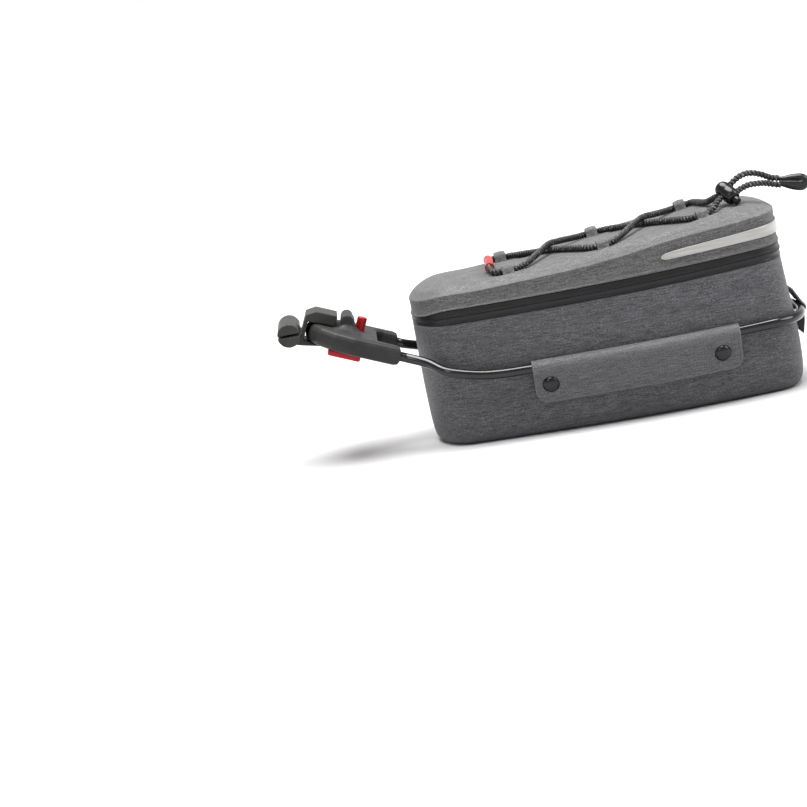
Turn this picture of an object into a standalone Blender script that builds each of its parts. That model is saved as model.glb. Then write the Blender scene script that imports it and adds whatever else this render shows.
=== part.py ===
"""Bicycle saddle bag with its carrier rod, coupling head and laced cord.

Metres, +Z up. The bag stands on its flat base, whose centre is the origin. -X is the nose,
where the coupling head is, and -Y is the left side.
"""

import math

import bmesh
import bpy
import numpy as np
from mathutils import Euler, Vector

# Bag in plan. Distances along the bag are counted from the tip of its nose.
BAG_LENGTH = 0.272
MAX_HALF_WIDTH = 0.070
WIDEST_AT = 0.168
NOSE_HALF_WIDTH = 0.048
TAIL_HALF_WIDTH = 0.056
NOSE_CAP = 0.024
TAIL_CAP = 0.024

# Bag in height: body, zip tape, lid.
BODY_HEIGHT = 0.0892
ZIP_RISE = 0.0066
TAPE_HEIGHT = 0.0105
NOSE_TAPE_HEIGHT = 0.0065
TAPE_PROUD = 0.0006
LID_SIDE = 0.0235
LID_CROWN = 0.0133
TAIL_LEAN = 0.0065
WALL = 0.002
GAP = 0.0003

# Slider of the zip and its pull.
SLIDER_FROM_NOSE = 0.0576
SLIDER_LENGTH = 0.011
SLIDER_DEPTH = 0.0042
SLIDER_EDGE = 0.0011
PULL_LENGTH = 0.021
PULL_THICK = 0.0022

# Reflective strip on the lid's side wall.
STRIP_START = 0.180
STRIP_TIP = 0.006
STRIP_FROM_ZIP = 0.0073
STRIP_FROM_CREASE = 0.0078
STRIP_THICK = 0.0006

# Carrier rod.
ROD_RADIUS = 0.0035
ROD_HEIGHT = 0.0492
ROD_RISE = 0.0022
ROD_STAND_OFF = 0.0009
ROD_HALF_SPACING = 0.039
ROD_END_HEIGHT = 0.0715
SOCKET_END = -0.014
ROD_LEAD_CLEAR = 0.012
ROD_MEETS_BAG = 0.257
ROD_STEP = 0.009
ROD_CLEARANCE = 0.0005

# Side flaps and their press studs.
FLAP_START = 0.077
FLAP_END = 0.2275
FLAP_DROP = 0.0265
FLAP_THICK = 0.0012
FLAP_CORNER = 0.009
FLAP_BELLY = 0.0034
FLAP_HEM = 0.0022
SNAP_RADIUS = 0.0062
SNAP_HEIGHT = 0.0034
FRONT_SNAP_INSET = 0.0115
REAR_SNAP_INSET = 0.0145
SNAP_DROP = 0.0130

# Rear tab and hook.
TAB_HALF_WIDTH = 0.017
TAB_THICK = 0.0014
TAB_RISE = 0.0145
HOOK_HALF_WIDTH = 0.007
HOOK_WALL = 0.0028
HOOK_DROP = 0.021
HOOK_FROM = 256.0
HOOK_TO = 320.0

# Coupling head, in its own frame: x to the rear along the rod, z square to the top face.
HEAD_PITCH = math.radians(23.0)
HEAD_HALF_WIDTH = 0.046
HEAD_THICK = 0.014
HEAD_EDGE = 0.004
SOCKET_WIDTH = 0.014
SOCKET_DEPTH = 0.018
NOTCH_DEPTH = 0.0165
NOTCH_CORNER = 0.005
HEAD_STRAIGHT = 0.035
HEAD_NOSE = 0.0347
RUNNING_GAP = 0.0004
HUMP_THICK = 0.0093
HUMP_WIDTH = 0.036
HUMP_RISE = 0.0118
HUMP_BEHIND = 0.0405
HUMP_FOOT = 0.006
HUMP_EDGE = 0.001
BUTTON_RADIUS = 0.0036
BUTTON_RISE = 0.0105
BUTTON_EDGE = 0.0008
BUTTON_INSIDE = 0.0045
BUTTON_TRAVEL = 0.004
BUTTON_BEHIND = 0.0311
BAR_START = 0.0275
BAR_LENGTH = 0.0240
BAR_HALF_WIDTH = 0.036
BAR_PROUD = 0.0043
BAR_INSIDE = 0.0005
BAR_TRAVEL = 0.0025
BAR_EDGE = 0.0012

# How far a cutter runs past the face that it cuts.
CUT_BEYOND = 0.01

# Adapter that the head plugs into, and its clamp.
RIDE_PITCH = math.radians(10.0)
ADAPTER_HALF_WIDTH = 0.0165
ADAPTER_TOP = 0.0085
WEDGE_LENGTH = 0.016
JAW_RADIUS = 0.0086
WEB_THICK = 0.0026
JAW_HALF_WIDTH = 0.029
JAW_STAND_OFF = 0.0032
JAW_DROP = 0.0048
RAIL_RADIUS = 0.0036
RAIL_HALF_SPACING = 0.0215
CLAMP_SPLIT = 0.0018
CLAMP_POST_RADIUS = 0.005
WEDGE_TIP = 0.0006
ADAPTER_SLOPE = 0.004
HUMP_CLEARANCE = 0.0045
JAW_AHEAD = HEAD_STRAIGHT + HEAD_NOSE + JAW_STAND_OFF + JAW_RADIUS

# Laced cord, its loops, lock and tails.
CORD_RADIUS = 0.00225
CORD_LIFT = 0.0003
CORD_STEP = 0.0090
LOOP_CLEARANCE = 0.0015
LOOP_LENGTH = 0.0085
LOOP_THICK = 0.0009
LOOP_FOOT = 0.0020
SLEEVE_RADIUS = 0.0033
SLEEVE_HALF_LENGTH = 0.026
SLEEVE_STEP = 0.006
LOCK_RADIUS = 0.0060
LOCK_LENGTH = 0.0175
PLUNGER_RADIUS = 0.0030
PLUNGER_REACH = 0.0040
PLUNGER_TRAVEL = 0.0030
PLUNGER_INSIDE = 0.0032
PLUNGER_EDGE = 0.001
END_LENGTH = 0.0215
END_WIDTH = 0.0125
END_THICK = 0.0085
END_PITCH = math.radians(12.0)
TAIL_STEP = 0.006

# Steps of the outline from nose to tail, and how much shorter the spine is than the bag.
HALF_STEPS = 24
ROD_STEPS = 40
SPINE_SHARE = 0.62

# The base rounds up into the wall: height, and how far the outline draws in towards the spine.
# Lean is the share of TAIL_LEAN by which the rear end stands further back than the lid's.
BODY_LEVELS = [
    {"height": 0.0000, "draw_in": 0.150, "lean": 1.00},
    {"height": 0.0010, "draw_in": 0.110, "lean": 1.00},
    {"height": 0.0035, "draw_in": 0.072, "lean": 1.00},
    {"height": 0.0070, "draw_in": 0.050, "lean": 1.00},
    {"height": 0.0130, "draw_in": 0.034, "lean": 1.00},
    {"height": 0.0270, "draw_in": 0.018, "lean": 0.95},
    {"height": 0.0500, "draw_in": 0.005, "lean": 0.66},
    {"height": 0.0720, "draw_in": 0.000, "lean": 0.28},
]

# Rod from the head to the bag's side: share of BAG_LENGTH from the nose, clearance from the bag
# as a share of ROD_LEAD_CLEAR, and share of the fall from the head still to come.
ROD_LEAD = [
    {"along": 0.0184, "clear": 1.000, "fall": 0.660},
    {"along": 0.0588, "clear": 0.350, "fall": 0.380},
    {"along": 0.1066, "clear": 0.233, "fall": 0.200},
    {"along": 0.1581, "clear": 0.150, "fall": 0.070},
    {"along": 0.2132, "clear": 0.083, "fall": 0.015},
]

# Lid side wall, crown and hollow along the bag, as shares of LID_SIDE, LID_CROWN and LID_CROWN.
# The hollow is what the laced cord presses into the middle of the lid.
LID_STATIONS = [
    {"along": 0.00, "side": 0.50, "crown": 0.83, "hollow": 0.00},
    {"along": 0.10, "side": 0.46, "crown": 0.75, "hollow": 0.01},
    {"along": 0.30, "side": 0.52, "crown": 0.78, "hollow": 0.32},
    {"along": 0.45, "side": 0.59, "crown": 1.00, "hollow": 0.41},
    {"along": 0.58, "side": 0.72, "crown": 1.03, "hollow": 0.49},
    {"along": 0.70, "side": 0.87, "crown": 0.95, "hollow": 0.50},
    {"along": 0.80, "side": 0.92, "crown": 1.00, "hollow": 0.38},
    {"along": 0.87, "side": 0.94, "crown": 1.00, "hollow": 0.10},
    {"along": 0.93, "side": 0.97, "crown": 0.85, "hollow": 0.00},
    {"along": 1.00, "side": 1.00, "crown": 0.50, "hollow": 0.00},
]

# Rise of the crown and depth of the hollow from the crease to the spine of the lid.
CROWN_PROFILE = [
    {"draw_in": 0.00, "rise": 0.00, "hollow": 0.00},
    {"draw_in": 0.03, "rise": 0.20, "hollow": 0.00},
    {"draw_in": 0.08, "rise": 0.42, "hollow": 0.00},
    {"draw_in": 0.17, "rise": 0.58, "hollow": 0.13},
    {"draw_in": 0.24, "rise": 0.66, "hollow": 0.40},
    {"draw_in": 0.32, "rise": 0.73, "hollow": 0.64},
    {"draw_in": 0.41, "rise": 0.81, "hollow": 0.78},
    {"draw_in": 0.52, "rise": 0.88, "hollow": 0.88},
    {"draw_in": 0.75, "rise": 0.97, "hollow": 0.98},
    {"draw_in": 0.92, "rise": 1.00, "hollow": 1.00},
]

# Fabric loops on the lid, as shares of BAG_LENGTH from the nose and of MAX_HALF_WIDTH across.
LOOPS = [
    {"name": "front_left", "along": 0.2686, "across": -0.6286},
    {"name": "front_right", "along": 0.2699, "across": 0.6286},
    {"name": "middle_left", "along": 0.5257, "across": -0.6429},
    {"name": "middle_right", "along": 0.5301, "across": 0.6429},
    {"name": "rear_left", "along": 0.7978, "across": -0.6571},
    {"name": "rear_right", "along": 0.7830, "across": 0.6571},
]

# Route of the laced cord over the lid: the same shares along and across, and its height over
# the lid's surface counted in cord diameters. Chosen by hand.
LACING_ROUTE = [
    (0.8559, -0.5200, 0.99),
    (0.8456, -0.5543, 0.74),
    (0.8316, -0.6114, 0.28),
    (0.8162, -0.6529, 0.04),
    (0.7978, -0.6571, 0.00),
    (0.7794, -0.6529, 0.00),
    (0.7574, -0.5643, 0.00),
    (0.7279, -0.3857, 0.00),
    (0.6949, -0.1714, 0.00),
    (0.6581, 0.0429, 0.00),
    (0.6176, 0.2714, 0.00),
    (0.5779, 0.5143, 0.00),
    (0.5504, 0.6386, 0.00),
    (0.5301, 0.6429, 0.00),
    (0.5099, 0.6386, 0.00),
    (0.4823, 0.5143, 0.02),
    (0.4338, 0.2286, 0.40),
    (0.3971, -0.0143, 1.15),
    (0.3640, -0.2286, 0.40),
    (0.3235, -0.4857, 0.02),
    (0.2888, -0.6243, 0.00),
    (0.2686, -0.6286, 0.00),
    (0.2483, -0.6243, 0.00),
    (0.2309, -0.5500, 0.05),
    (0.2250, -0.4286, 0.30),
    (0.2272, -0.2143, 0.30),
    (0.2309, 0.0000, 0.30),
    (0.2331, 0.2143, 0.30),
    (0.2331, 0.4286, 0.30),
    (0.2371, 0.5500, 0.05),
    (0.2480, 0.6257, 0.00),
    (0.2699, 0.6286, 0.00),
    (0.2901, 0.6229, 0.00),
    (0.3199, 0.5000, 0.00),
    (0.3603, 0.2500, 0.00),
    (0.3971, 0.0143, 0.00),
    (0.4338, -0.2286, 0.00),
    (0.4779, -0.5143, 0.00),
    (0.5055, -0.6386, 0.00),
    (0.5257, -0.6429, 0.00),
    (0.5460, -0.6386, 0.00),
    (0.5772, -0.5000, 0.02),
    (0.6176, -0.2429, 0.40),
    (0.6581, 0.0143, 1.15),
    (0.6949, 0.2429, 0.40),
    (0.7390, 0.5143, 0.02),
    (0.7628, 0.6529, 0.00),
    (0.7830, 0.6571, 0.00),
    (0.8032, 0.6543, 0.00),
    (0.8178, 0.5429, 0.00),
    (0.8224, 0.2714, 0.00),
    (0.8254, 0.0571, 0.00),
    (0.8316, -0.1429, 0.20),
    (0.8419, -0.2929, 0.65),
    (0.8522, -0.3857, 1.04),
]

# Lock on the lid: its plunger end and its other end, by the same shares, and their height over the lid.
LOCK_LOW_END = {"along": 0.9015, "across": -0.5857, "lift": 0.0026}
LOCK_HIGH_END = {"along": 0.8621, "across": -0.3857, "lift": 0.0143}

# Free ends of the cord behind the lock, counted from the lock's high end. Chosen by hand.
UPPER_TAIL_ROUTE = [
    (0.0088, -0.0019, -0.0002),
    (0.0125, -0.0010, 0.0024),
    (0.0173, 0.0000, 0.0044),
    (0.0224, 0.0015, 0.0050),
    (0.0280, 0.0030, 0.0039),
    (0.0334, 0.0045, 0.0017),
    (0.0388, 0.0065, -0.0014),
    (0.0440, 0.0072, -0.0028),
]
LOWER_TAIL_ROUTE = [
    (0.0125, -0.0069, -0.0054),
    (0.0159, -0.0050, -0.0041),
    (0.0215, -0.0030, -0.0030),
    (0.0278, -0.0010, -0.0033),
    (0.0340, 0.0015, -0.0043),
    (0.0394, 0.0038, -0.0061),
    (0.0440, 0.0042, -0.0075),
]

COLOURS = {
    "body_fabric": ((0.105, 0.105, 0.115, 1.0), 0.75, 0.0),
    "lid_fabric": ((0.20, 0.20, 0.20, 1.0), 0.75, 0.0),
    "zip_tape": ((0.02, 0.02, 0.02, 1.0), 0.4, 0.0),
    "reflector": ((0.54, 0.53, 0.50, 1.0), 0.35, 0.0),
    "rod": ((0.012, 0.012, 0.013, 1.0), 0.18, 0.6),
    "head_plastic": ((0.040, 0.038, 0.039, 1.0), 0.5, 0.0),
    "black_plastic": ((0.012, 0.012, 0.012, 1.0), 0.3, 0.0),
    "red_plastic": ((0.30, 0.014, 0.022, 1.0), 0.4, 0.0),
    "cord": ((0.014, 0.014, 0.014, 1.0), 0.7, 0.0),
}


def clear_scene():
    for obj in list(bpy.data.objects):
        bpy.data.objects.remove(obj, do_unlink=True)


def material(name):
    """One Principled material per finish, made the first time it is asked for."""
    found = bpy.data.materials.get(name)
    if found:
        return found
    colour, roughness, metallic = COLOURS[name]
    made = bpy.data.materials.new(name)
    made.use_nodes = True
    made.diffuse_color = colour
    shader = made.node_tree.nodes["Principled BSDF"]
    shader.inputs["Base Color"].default_value = colour
    shader.inputs["Roughness"].default_value = roughness
    shader.inputs["Metallic"].default_value = metallic
    return made


def empty(name, location, pitch=0.0, parent=None):
    made = bpy.data.objects.new(name, None)
    bpy.context.scene.collection.objects.link(made)
    made.location = location
    made.rotation_euler = (0.0, pitch, 0.0)
    made.parent = parent
    return made


def add_object(name, data, finish, parent, location=(0.0, 0.0, 0.0)):
    made = bpy.data.objects.new(name, data)
    bpy.context.scene.collection.objects.link(made)
    if finish:
        data.materials.append(material(finish))
    made.parent = parent
    made.location = location
    return made


def mesh_from(name, points, faces):
    """A mesh with its faces turned outwards and its round parts shaded smooth."""
    mesh = bpy.data.meshes.new(name)
    mesh.from_pydata([tuple(point) for point in points], [], faces)
    work = bmesh.new()
    work.from_mesh(mesh)
    bmesh.ops.recalc_face_normals(work, faces=work.faces)
    work.to_mesh(mesh)
    work.free()
    mesh.shade_smooth()
    mesh.set_sharp_from_angle(angle=math.radians(35.0))
    return mesh


def hidden(obj):
    obj.hide_render = True
    obj.display_type = "WIRE"
    return obj


def boolean(target, cutter, operation):
    modifier = target.modifiers.new(operation.lower() + " " + cutter.name, "BOOLEAN")
    modifier.operation = operation
    modifier.object = cutter
    modifier.solver = "EXACT"


def smooth(table, key, where, start="along"):
    """A smooth curve through one column of a table, read at the given places."""
    x = np.array([row[start] for row in table])
    y = np.array([row[key] for row in table])
    slope = np.gradient(y, x)
    where = np.clip(np.asarray(where, float), x[0], x[-1])
    i = np.clip(np.searchsorted(x, where, side="right") - 1, 0, len(x) - 2)
    width = x[i + 1] - x[i]
    t = (where - x[i]) / width
    keep = 2 * t**3 - 3 * t**2 + 1
    lean = t**3 - 2 * t**2 + t
    lean_end = t**3 - t**2
    return (
        keep * y[i]
        + lean * width * slope[i]
        + (1 - keep) * y[i + 1]
        + lean_end * width * slope[i + 1]
    )


def half_width(x):
    """Half of the bag's width at a distance from the nose: a bellied side with two rounded ends."""
    x = np.clip(np.asarray(x, float), 0.0, BAG_LENGTH)
    ahead = np.clip((WIDEST_AT - x) / WIDEST_AT, 0.0, 1.0)
    behind = np.clip((x - WIDEST_AT) / (BAG_LENGTH - WIDEST_AT), 0.0, 1.0)
    side = MAX_HALF_WIDTH - (MAX_HALF_WIDTH - NOSE_HALF_WIDTH) * ahead**1.6
    side = side - (MAX_HALF_WIDTH - TAIL_HALF_WIDTH) * behind**2
    nose = np.clip(1.0 - x / NOSE_CAP, 0.0, 1.0)
    tail = np.clip(1.0 - (BAG_LENGTH - x) / TAIL_CAP, 0.0, 1.0)
    return side * (1.0 - nose**2.0) ** 0.5 * (1.0 - tail**2.8) ** (1 / 2.8)


def outline(steps=HALF_STEPS):
    """The bag in plan: from the nose back along the left side, and forward along the right."""
    turn = np.pi * np.arange(steps + 1) / steps
    x = BAG_LENGTH * (1.0 - np.cos(turn)) / 2.0
    left = np.stack([x, -half_width(x)], axis=1)
    right = left[-2:0:-1] * (1.0, -1.0)
    return np.concatenate([left, right])


def spine(x):
    """Where a point of the outline draws in to, on the middle line."""
    return BAG_LENGTH / 2.0 + SPINE_SHARE * (x - BAG_LENGTH / 2.0)


def drawn_in(plan, share):
    """The outline moved towards the spine by a share of the way."""
    goal = np.stack([spine(plan[:, 0]), np.zeros(len(plan))], axis=1)
    return plan + (goal - plan) * share


def outward(plan):
    """Outward normals of a closed plan that runs from the nose along the left side."""
    along = np.roll(plan, -1, axis=0) - np.roll(plan, 1, axis=0)
    normal = np.stack([along[:, 1], -along[:, 0]], axis=1)
    normal /= np.linalg.norm(normal, axis=1, keepdims=True)
    middle = plan.mean(axis=0)
    side = np.sign(np.sum(normal * (plan - middle), axis=1))
    return normal * np.where(side < 0, -1.0, 1.0)[:, None]


def at_height(plan, height):
    """A ring in space from a plan and one height or a height per point."""
    return np.column_stack([plan, np.broadcast_to(height, len(plan))])


def zip_low(x):
    share = np.asarray(x, float) / BAG_LENGTH
    return BODY_HEIGHT + ZIP_RISE * (0.25 * share + 0.75 * share**2)


def zip_high(x):
    share = np.clip(np.asarray(x, float) / NOSE_CAP, 0.0, 1.0)
    ease = share * share * (3.0 - 2.0 * share)
    return zip_low(x) + NOSE_TAPE_HEIGHT + (TAPE_HEIGHT - NOSE_TAPE_HEIGHT) * ease


def crease(x):
    share = np.asarray(x, float) / BAG_LENGTH
    return zip_high(x) + LID_SIDE * smooth(LID_STATIONS, "side", share)


def lid_rise(x, draw_in):
    """Rise of the lid's outer face above the crease: its crown less its hollow."""
    share = np.asarray(x, float) / BAG_LENGTH
    crown = smooth(LID_STATIONS, "crown", share) * smooth(CROWN_PROFILE, "rise", draw_in, "draw_in")
    hollow = smooth(LID_STATIONS, "hollow", share) * smooth(CROWN_PROFILE, "hollow", draw_in, "draw_in")
    return LID_CROWN * (crown - hollow)


def lid_height(x, y):
    """Height of the lid's outer face over a point of the plan."""
    middle = BAG_LENGTH / 2.0
    low, high = 0.0, 1.0
    for _ in range(40):
        share = (low + high) / 2.0
        foot = middle + (x - middle) / (1.0 - (1.0 - SPINE_SHARE) * share)
        if float(half_width(foot)) * (1.0 - share) > abs(y):
            low = share
        else:
            high = share
    return float(crease(x) + lid_rise(x, low))


def skin(rings, ends="pairs", wrap=False):
    """Quads between rings of equal length, with both ends closed, or the last ring joined to the first."""
    count = len(rings[0])
    points = np.concatenate(rings)
    faces = []
    pairs = len(rings) if wrap else len(rings) - 1
    for r in range(pairs):
        here = r * count
        there = (r + 1) % len(rings) * count
        for i in range(count):
            j = (i + 1) % count
            faces.append((here + i, here + j, there + j, there + i))
    if wrap:
        return points, faces
    for base in (0, (len(rings) - 1) * count):
        if ends == "polygon":
            faces.append(tuple(base + i for i in range(count)))
            continue
        half = count // 2
        faces.append((base, base + 1, base + count - 1))
        for i in range(1, half - 1):
            faces.append((base + i, base + i + 1, base + count - i - 1, base + count - i))
        faces.append((base + half - 1, base + half, base + half + 1))
    return points, faces


def body_plan(plan, draw_in, lean):
    """The outline at one level of the body: drawn in, and its rear end moved back."""
    ring = drawn_in(plan, draw_in)
    share = np.clip((ring[:, 0] / BAG_LENGTH - 0.55) / 0.45, 0.0, 1.0)
    ring[:, 0] += TAIL_LEAN * lean * share * share * (3.0 - 2.0 * share)
    return ring


def rod_level_plan(steps):
    """The body's outline at the height of the rod."""
    draw_in = float(smooth(BODY_LEVELS, "draw_in", ROD_HEIGHT, "height"))
    lean = float(smooth(BODY_LEVELS, "lean", ROD_HEIGHT, "height"))
    return body_plan(outline(steps), draw_in, lean)


def bag_body(bag):
    """Hollow tub with a flat base, walls of one thickness and an open top."""
    plan = outline()
    outer = []
    inner = []
    for level in BODY_LEVELS:
        ring = body_plan(plan, level["draw_in"], level["lean"])
        outer.append(at_height(ring, level["height"]))
        if level["height"] > WALL:
            inner.append(at_height(ring - outward(ring) * WALL, level["height"]))
    floor = body_plan(plan, BODY_LEVELS[0]["draw_in"], BODY_LEVELS[0]["lean"])
    inner.insert(0, at_height(floor - outward(floor) * WALL, WALL))
    top = zip_low(plan[:, 0])
    outer.append(at_height(plan, top))
    inner.append(at_height(plan - outward(plan) * WALL, top))
    points, faces = skin(outer + inner[::-1])
    add_object("bag_body", mesh_from("bag_body", points, faces), "body_fabric", bag)


def zip_tape(bag):
    plan = outline()
    face = plan + outward(plan) * TAPE_PROUD
    back = plan - outward(plan) * WALL
    low = zip_low(plan[:, 0]) + GAP
    high = zip_high(plan[:, 0]) - GAP
    rings = [at_height(face, low), at_height(face, high), at_height(back, high), at_height(back, low)]
    points, faces = skin(rings, wrap=True)
    add_object("zip_tape", mesh_from("zip_tape", points, faces), "zip_tape", bag)


def block(name, size, edge, finish, parent, location):
    """A block with rounded edges."""
    work = bmesh.new()
    bmesh.ops.create_cube(work, size=1.0)
    bmesh.ops.scale(work, vec=size, verts=work.verts)
    bmesh.ops.bevel(work, geom=work.edges[:], offset=edge, segments=2, profile=0.5, affect="EDGES")
    mesh = bpy.data.meshes.new(name)
    work.to_mesh(mesh)
    work.free()
    return add_object(name, mesh, finish, parent, location)


def zip_slider(bag):
    """Slider on the right side, near the nose: a rounded block with its pull lying back along the tape."""
    x = SLIDER_FROM_NOSE
    y = float(half_width(x)) + TAPE_PROUD + GAP + SLIDER_DEPTH / 2.0
    z = float(zip_low(x) + zip_high(x)) / 2.0
    step = SLIDER_LENGTH
    turn = math.atan2(float(half_width(x + step) - half_width(x - step)), 2.0 * step)
    size = (SLIDER_LENGTH, SLIDER_DEPTH, TAPE_HEIGHT * 0.8)
    slider = block("zip_slider", size, SLIDER_EDGE, "black_plastic", bag, (x, y, z))
    slider.rotation_euler = (0.0, 0.0, turn)
    size = (PULL_LENGTH, PULL_THICK, TAPE_HEIGHT * 0.6)
    place = (x + PULL_LENGTH * 0.6, y + SLIDER_DEPTH / 2.0, z)
    pull = block("zip_pull", size, PULL_THICK * 0.3, None, bag, place)
    pull.rotation_euler = (0.0, 0.0, turn)
    boolean(slider, hidden(pull), "UNION")


def bag_lid(bag):
    """Hollow lid: a side wall up to the crease and a crowned top, open underneath."""
    plan = outline()
    low = zip_high(plan[:, 0])
    outer = [at_height(plan, low)]
    inner = [at_height(plan - outward(plan) * WALL, low)]
    for row in CROWN_PROFILE:
        ring = drawn_in(plan, row["draw_in"])
        height = crease(ring[:, 0]) + lid_rise(ring[:, 0], row["draw_in"])
        outer.append(at_height(ring, height))
        inner.append(at_height(ring - outward(ring) * WALL * (1.0 - row["draw_in"]), height - WALL))
    points, faces = skin(outer[::-1] + inner)
    add_object("bag_lid", mesh_from("bag_lid", points, faces), "lid_fabric", bag)


def reflective_strip(bag):
    """Thin band round the rear of the lid's side wall, with a rounded tip on each side."""
    turn = outline(HALF_STEPS * 2)
    turn = turn[turn[:, 0] > STRIP_START + STRIP_TIP * 1.2]
    lead = STRIP_START + STRIP_TIP * np.array([0.0, 0.12, 0.4, 1.0])
    left = np.stack([lead, -half_width(lead)], axis=1)
    plan = np.concatenate([left, turn, left[::-1] * (1.0, -1.0)])
    normal = outward(plan)
    normal[0] = normal[1]
    normal[-1] = normal[-2]
    tip = np.clip((plan[:, 0] - STRIP_START) / STRIP_TIP, 0.02, 1.0)
    ease = np.sqrt(1.0 - (1.0 - tip) ** 2)
    low = zip_high(plan[:, 0]) + STRIP_FROM_ZIP
    high = crease(plan[:, 0]) - STRIP_FROM_CREASE
    middle = (low + high) / 2.0
    half = np.maximum((high - low) / 2.0 * ease, 0.0008)
    face = plan + normal * (GAP + STRIP_THICK)
    back = plan + normal * GAP
    rings = []
    for i in range(len(plan)):
        rings.append(
            np.array(
                [
                    (*face[i], middle[i] - half[i]),
                    (*face[i], middle[i] + half[i]),
                    (*back[i], middle[i] + half[i]),
                    (*back[i], middle[i] - half[i]),
                ]
            )
        )
    points, faces = skin(rings, ends="polygon")
    add_object("reflective_strip", mesh_from("reflective_strip", points, faces), "reflector", bag)


def rod_height(x):
    return ROD_HEIGHT + ROD_RISE * np.clip(np.asarray(x, float) / BAG_LENGTH, 0.0, 1.0)


def rod_route():
    """One side of the rod from inside its socket to the middle of the rear hoop, as points in space."""
    lead = np.array([math.cos(HEAD_PITCH), 0.0, -math.sin(HEAD_PITCH)])
    mouth = np.array([SOCKET_END, -ROD_HALF_SPACING, ROD_END_HEIGHT])
    points = [mouth - lead * (SOCKET_DEPTH - ROD_RADIUS * 0.57), mouth, mouth + lead * ROD_RADIUS * 1.7]
    for row in ROD_LEAD:
        x = row["along"] * BAG_LENGTH
        y = -(float(half_width(x)) + ROD_RADIUS + ROD_STAND_OFF + ROD_LEAD_CLEAR * row["clear"])
        height = float(rod_height(x)) + (ROD_END_HEIGHT - ROD_HEIGHT) * row["fall"]
        points.append(np.array([x, y, height]))
    plan = rod_level_plan(ROD_STEPS)
    normal = outward(plan)
    for i in range(ROD_STEPS + 1):
        if plan[i, 0] > ROD_MEETS_BAG * BAG_LENGTH:
            spot = plan[i] + normal[i] * (ROD_RADIUS + ROD_STAND_OFF)
            points.append(np.array([spot[0], spot[1], float(rod_height(plan[i, 0]))]))
    return np.array(points)


def catmull(points, spacing):
    """A smooth curve through the points, read at about equal steps."""
    points = np.asarray(points, float)
    padded = np.vstack([2 * points[0] - points[1], points, 2 * points[-1] - points[-2]])
    fine = []
    for i in range(len(points) - 1):
        p0, p1, p2, p3 = padded[i : i + 4]
        for t in np.linspace(0.0, 1.0, 12, endpoint=False):
            fine.append(
                0.5
                * (
                    2 * p1
                    + (p2 - p0) * t
                    + (2 * p0 - 5 * p1 + 4 * p2 - p3) * t**2
                    + (3 * p1 - p0 - 3 * p2 + p3) * t**3
                )
            )
    fine.append(points[-1])
    fine = np.array(fine)
    run = np.concatenate([[0.0], np.cumsum(np.linalg.norm(np.diff(fine, axis=0), axis=1))])
    count = max(2, int(round(run[-1] / spacing)))
    marks = np.linspace(0.0, run[-1], count + 1)
    return np.stack([np.interp(marks, run, fine[:, k]) for k in range(3)], axis=1)


def tube(name, points, radius, finish, parent, sides_level=2):
    """A round bar or cord along points: a curve with a bevel and closed ends."""
    curve = bpy.data.curves.new(name, "CURVE")
    curve.dimensions = "3D"
    curve.bevel_depth = radius
    curve.bevel_resolution = sides_level
    curve.use_fill_caps = True
    line = curve.splines.new("POLY")
    line.points.add(len(points) - 1)
    for spot, point in zip(line.points, points):
        spot.co = (*point, 1.0)
    return add_object(name, curve, finish, parent)


def carrier_rod(bag):
    left = catmull(rod_route(), ROD_STEP)
    right = left[-2::-1] * (1.0, -1.0, 1.0)
    tube("carrier_rod", np.concatenate([left, right]), ROD_RADIUS, "rod", bag)


def wall_half_width(x):
    """Half of the body's width at the height of the rod."""
    left = rod_level_plan(ROD_STEPS)[: ROD_STEPS + 1]
    return float(np.interp(x, left[:, 0], -left[:, 1]))


def flap_section(x):
    """The flap's inner line at one place: out from the bag's wall, and height."""
    height = float(rod_height(x))
    out = ROD_RADIUS + ROD_STAND_OFF
    clear = ROD_RADIUS + ROD_CLEARANCE
    line = [(FLAP_THICK, height + clear - FLAP_THICK / 2.0), (out * 0.5, height + clear)]
    for angle in (76.0, 40.0, 8.0, -20.0):
        turn = math.radians(angle)
        line.append((out + clear * math.cos(turn), height + clear * math.sin(turn)))
    low = height - FLAP_DROP
    line.append((FLAP_BELLY, height - FLAP_DROP * 0.74))
    line.append((FLAP_HEM, low))
    return line


def flap(name, side, bag):
    """Fabric panel from the wall over the rod and down, with rounded lower corners."""
    stations = np.concatenate(
        [
            FLAP_START + FLAP_CORNER * np.array([0.0, 0.12, 0.45, 1.0]),
            np.linspace(FLAP_START + FLAP_CORNER * 2.7, FLAP_END - FLAP_CORNER * 2.7, 7),
            FLAP_END - FLAP_CORNER * np.array([1.0, 0.45, 0.12, 0.0]),
        ]
    )
    rings = []
    for x in stations:
        line = np.array(flap_section(x))
        edge = min(x - FLAP_START, FLAP_END - x)
        share = max(0.0, 1.0 - edge / FLAP_CORNER)
        lift = FLAP_CORNER * (1.0 - math.sqrt(max(0.0, 1.0 - share**2)))
        line[-1] = line[-1] + (line[-2] - line[-1]) * min(0.95, lift / (FLAP_DROP * 0.26))
        along = np.gradient(line, axis=0)
        normal = np.stack([-along[:, 1], along[:, 0]], axis=1)
        normal /= np.linalg.norm(normal, axis=1, keepdims=True)
        outer = line + normal * FLAP_THICK
        section = np.concatenate([line, outer[::-1]])
        wall = wall_half_width(x)
        rings.append(np.array([(x, side * (wall + out), height) for out, height in section]))
    points, faces = skin(rings, ends="polygon")
    add_object(name, mesh_from(name, points, faces), "body_fabric", bag)


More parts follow.
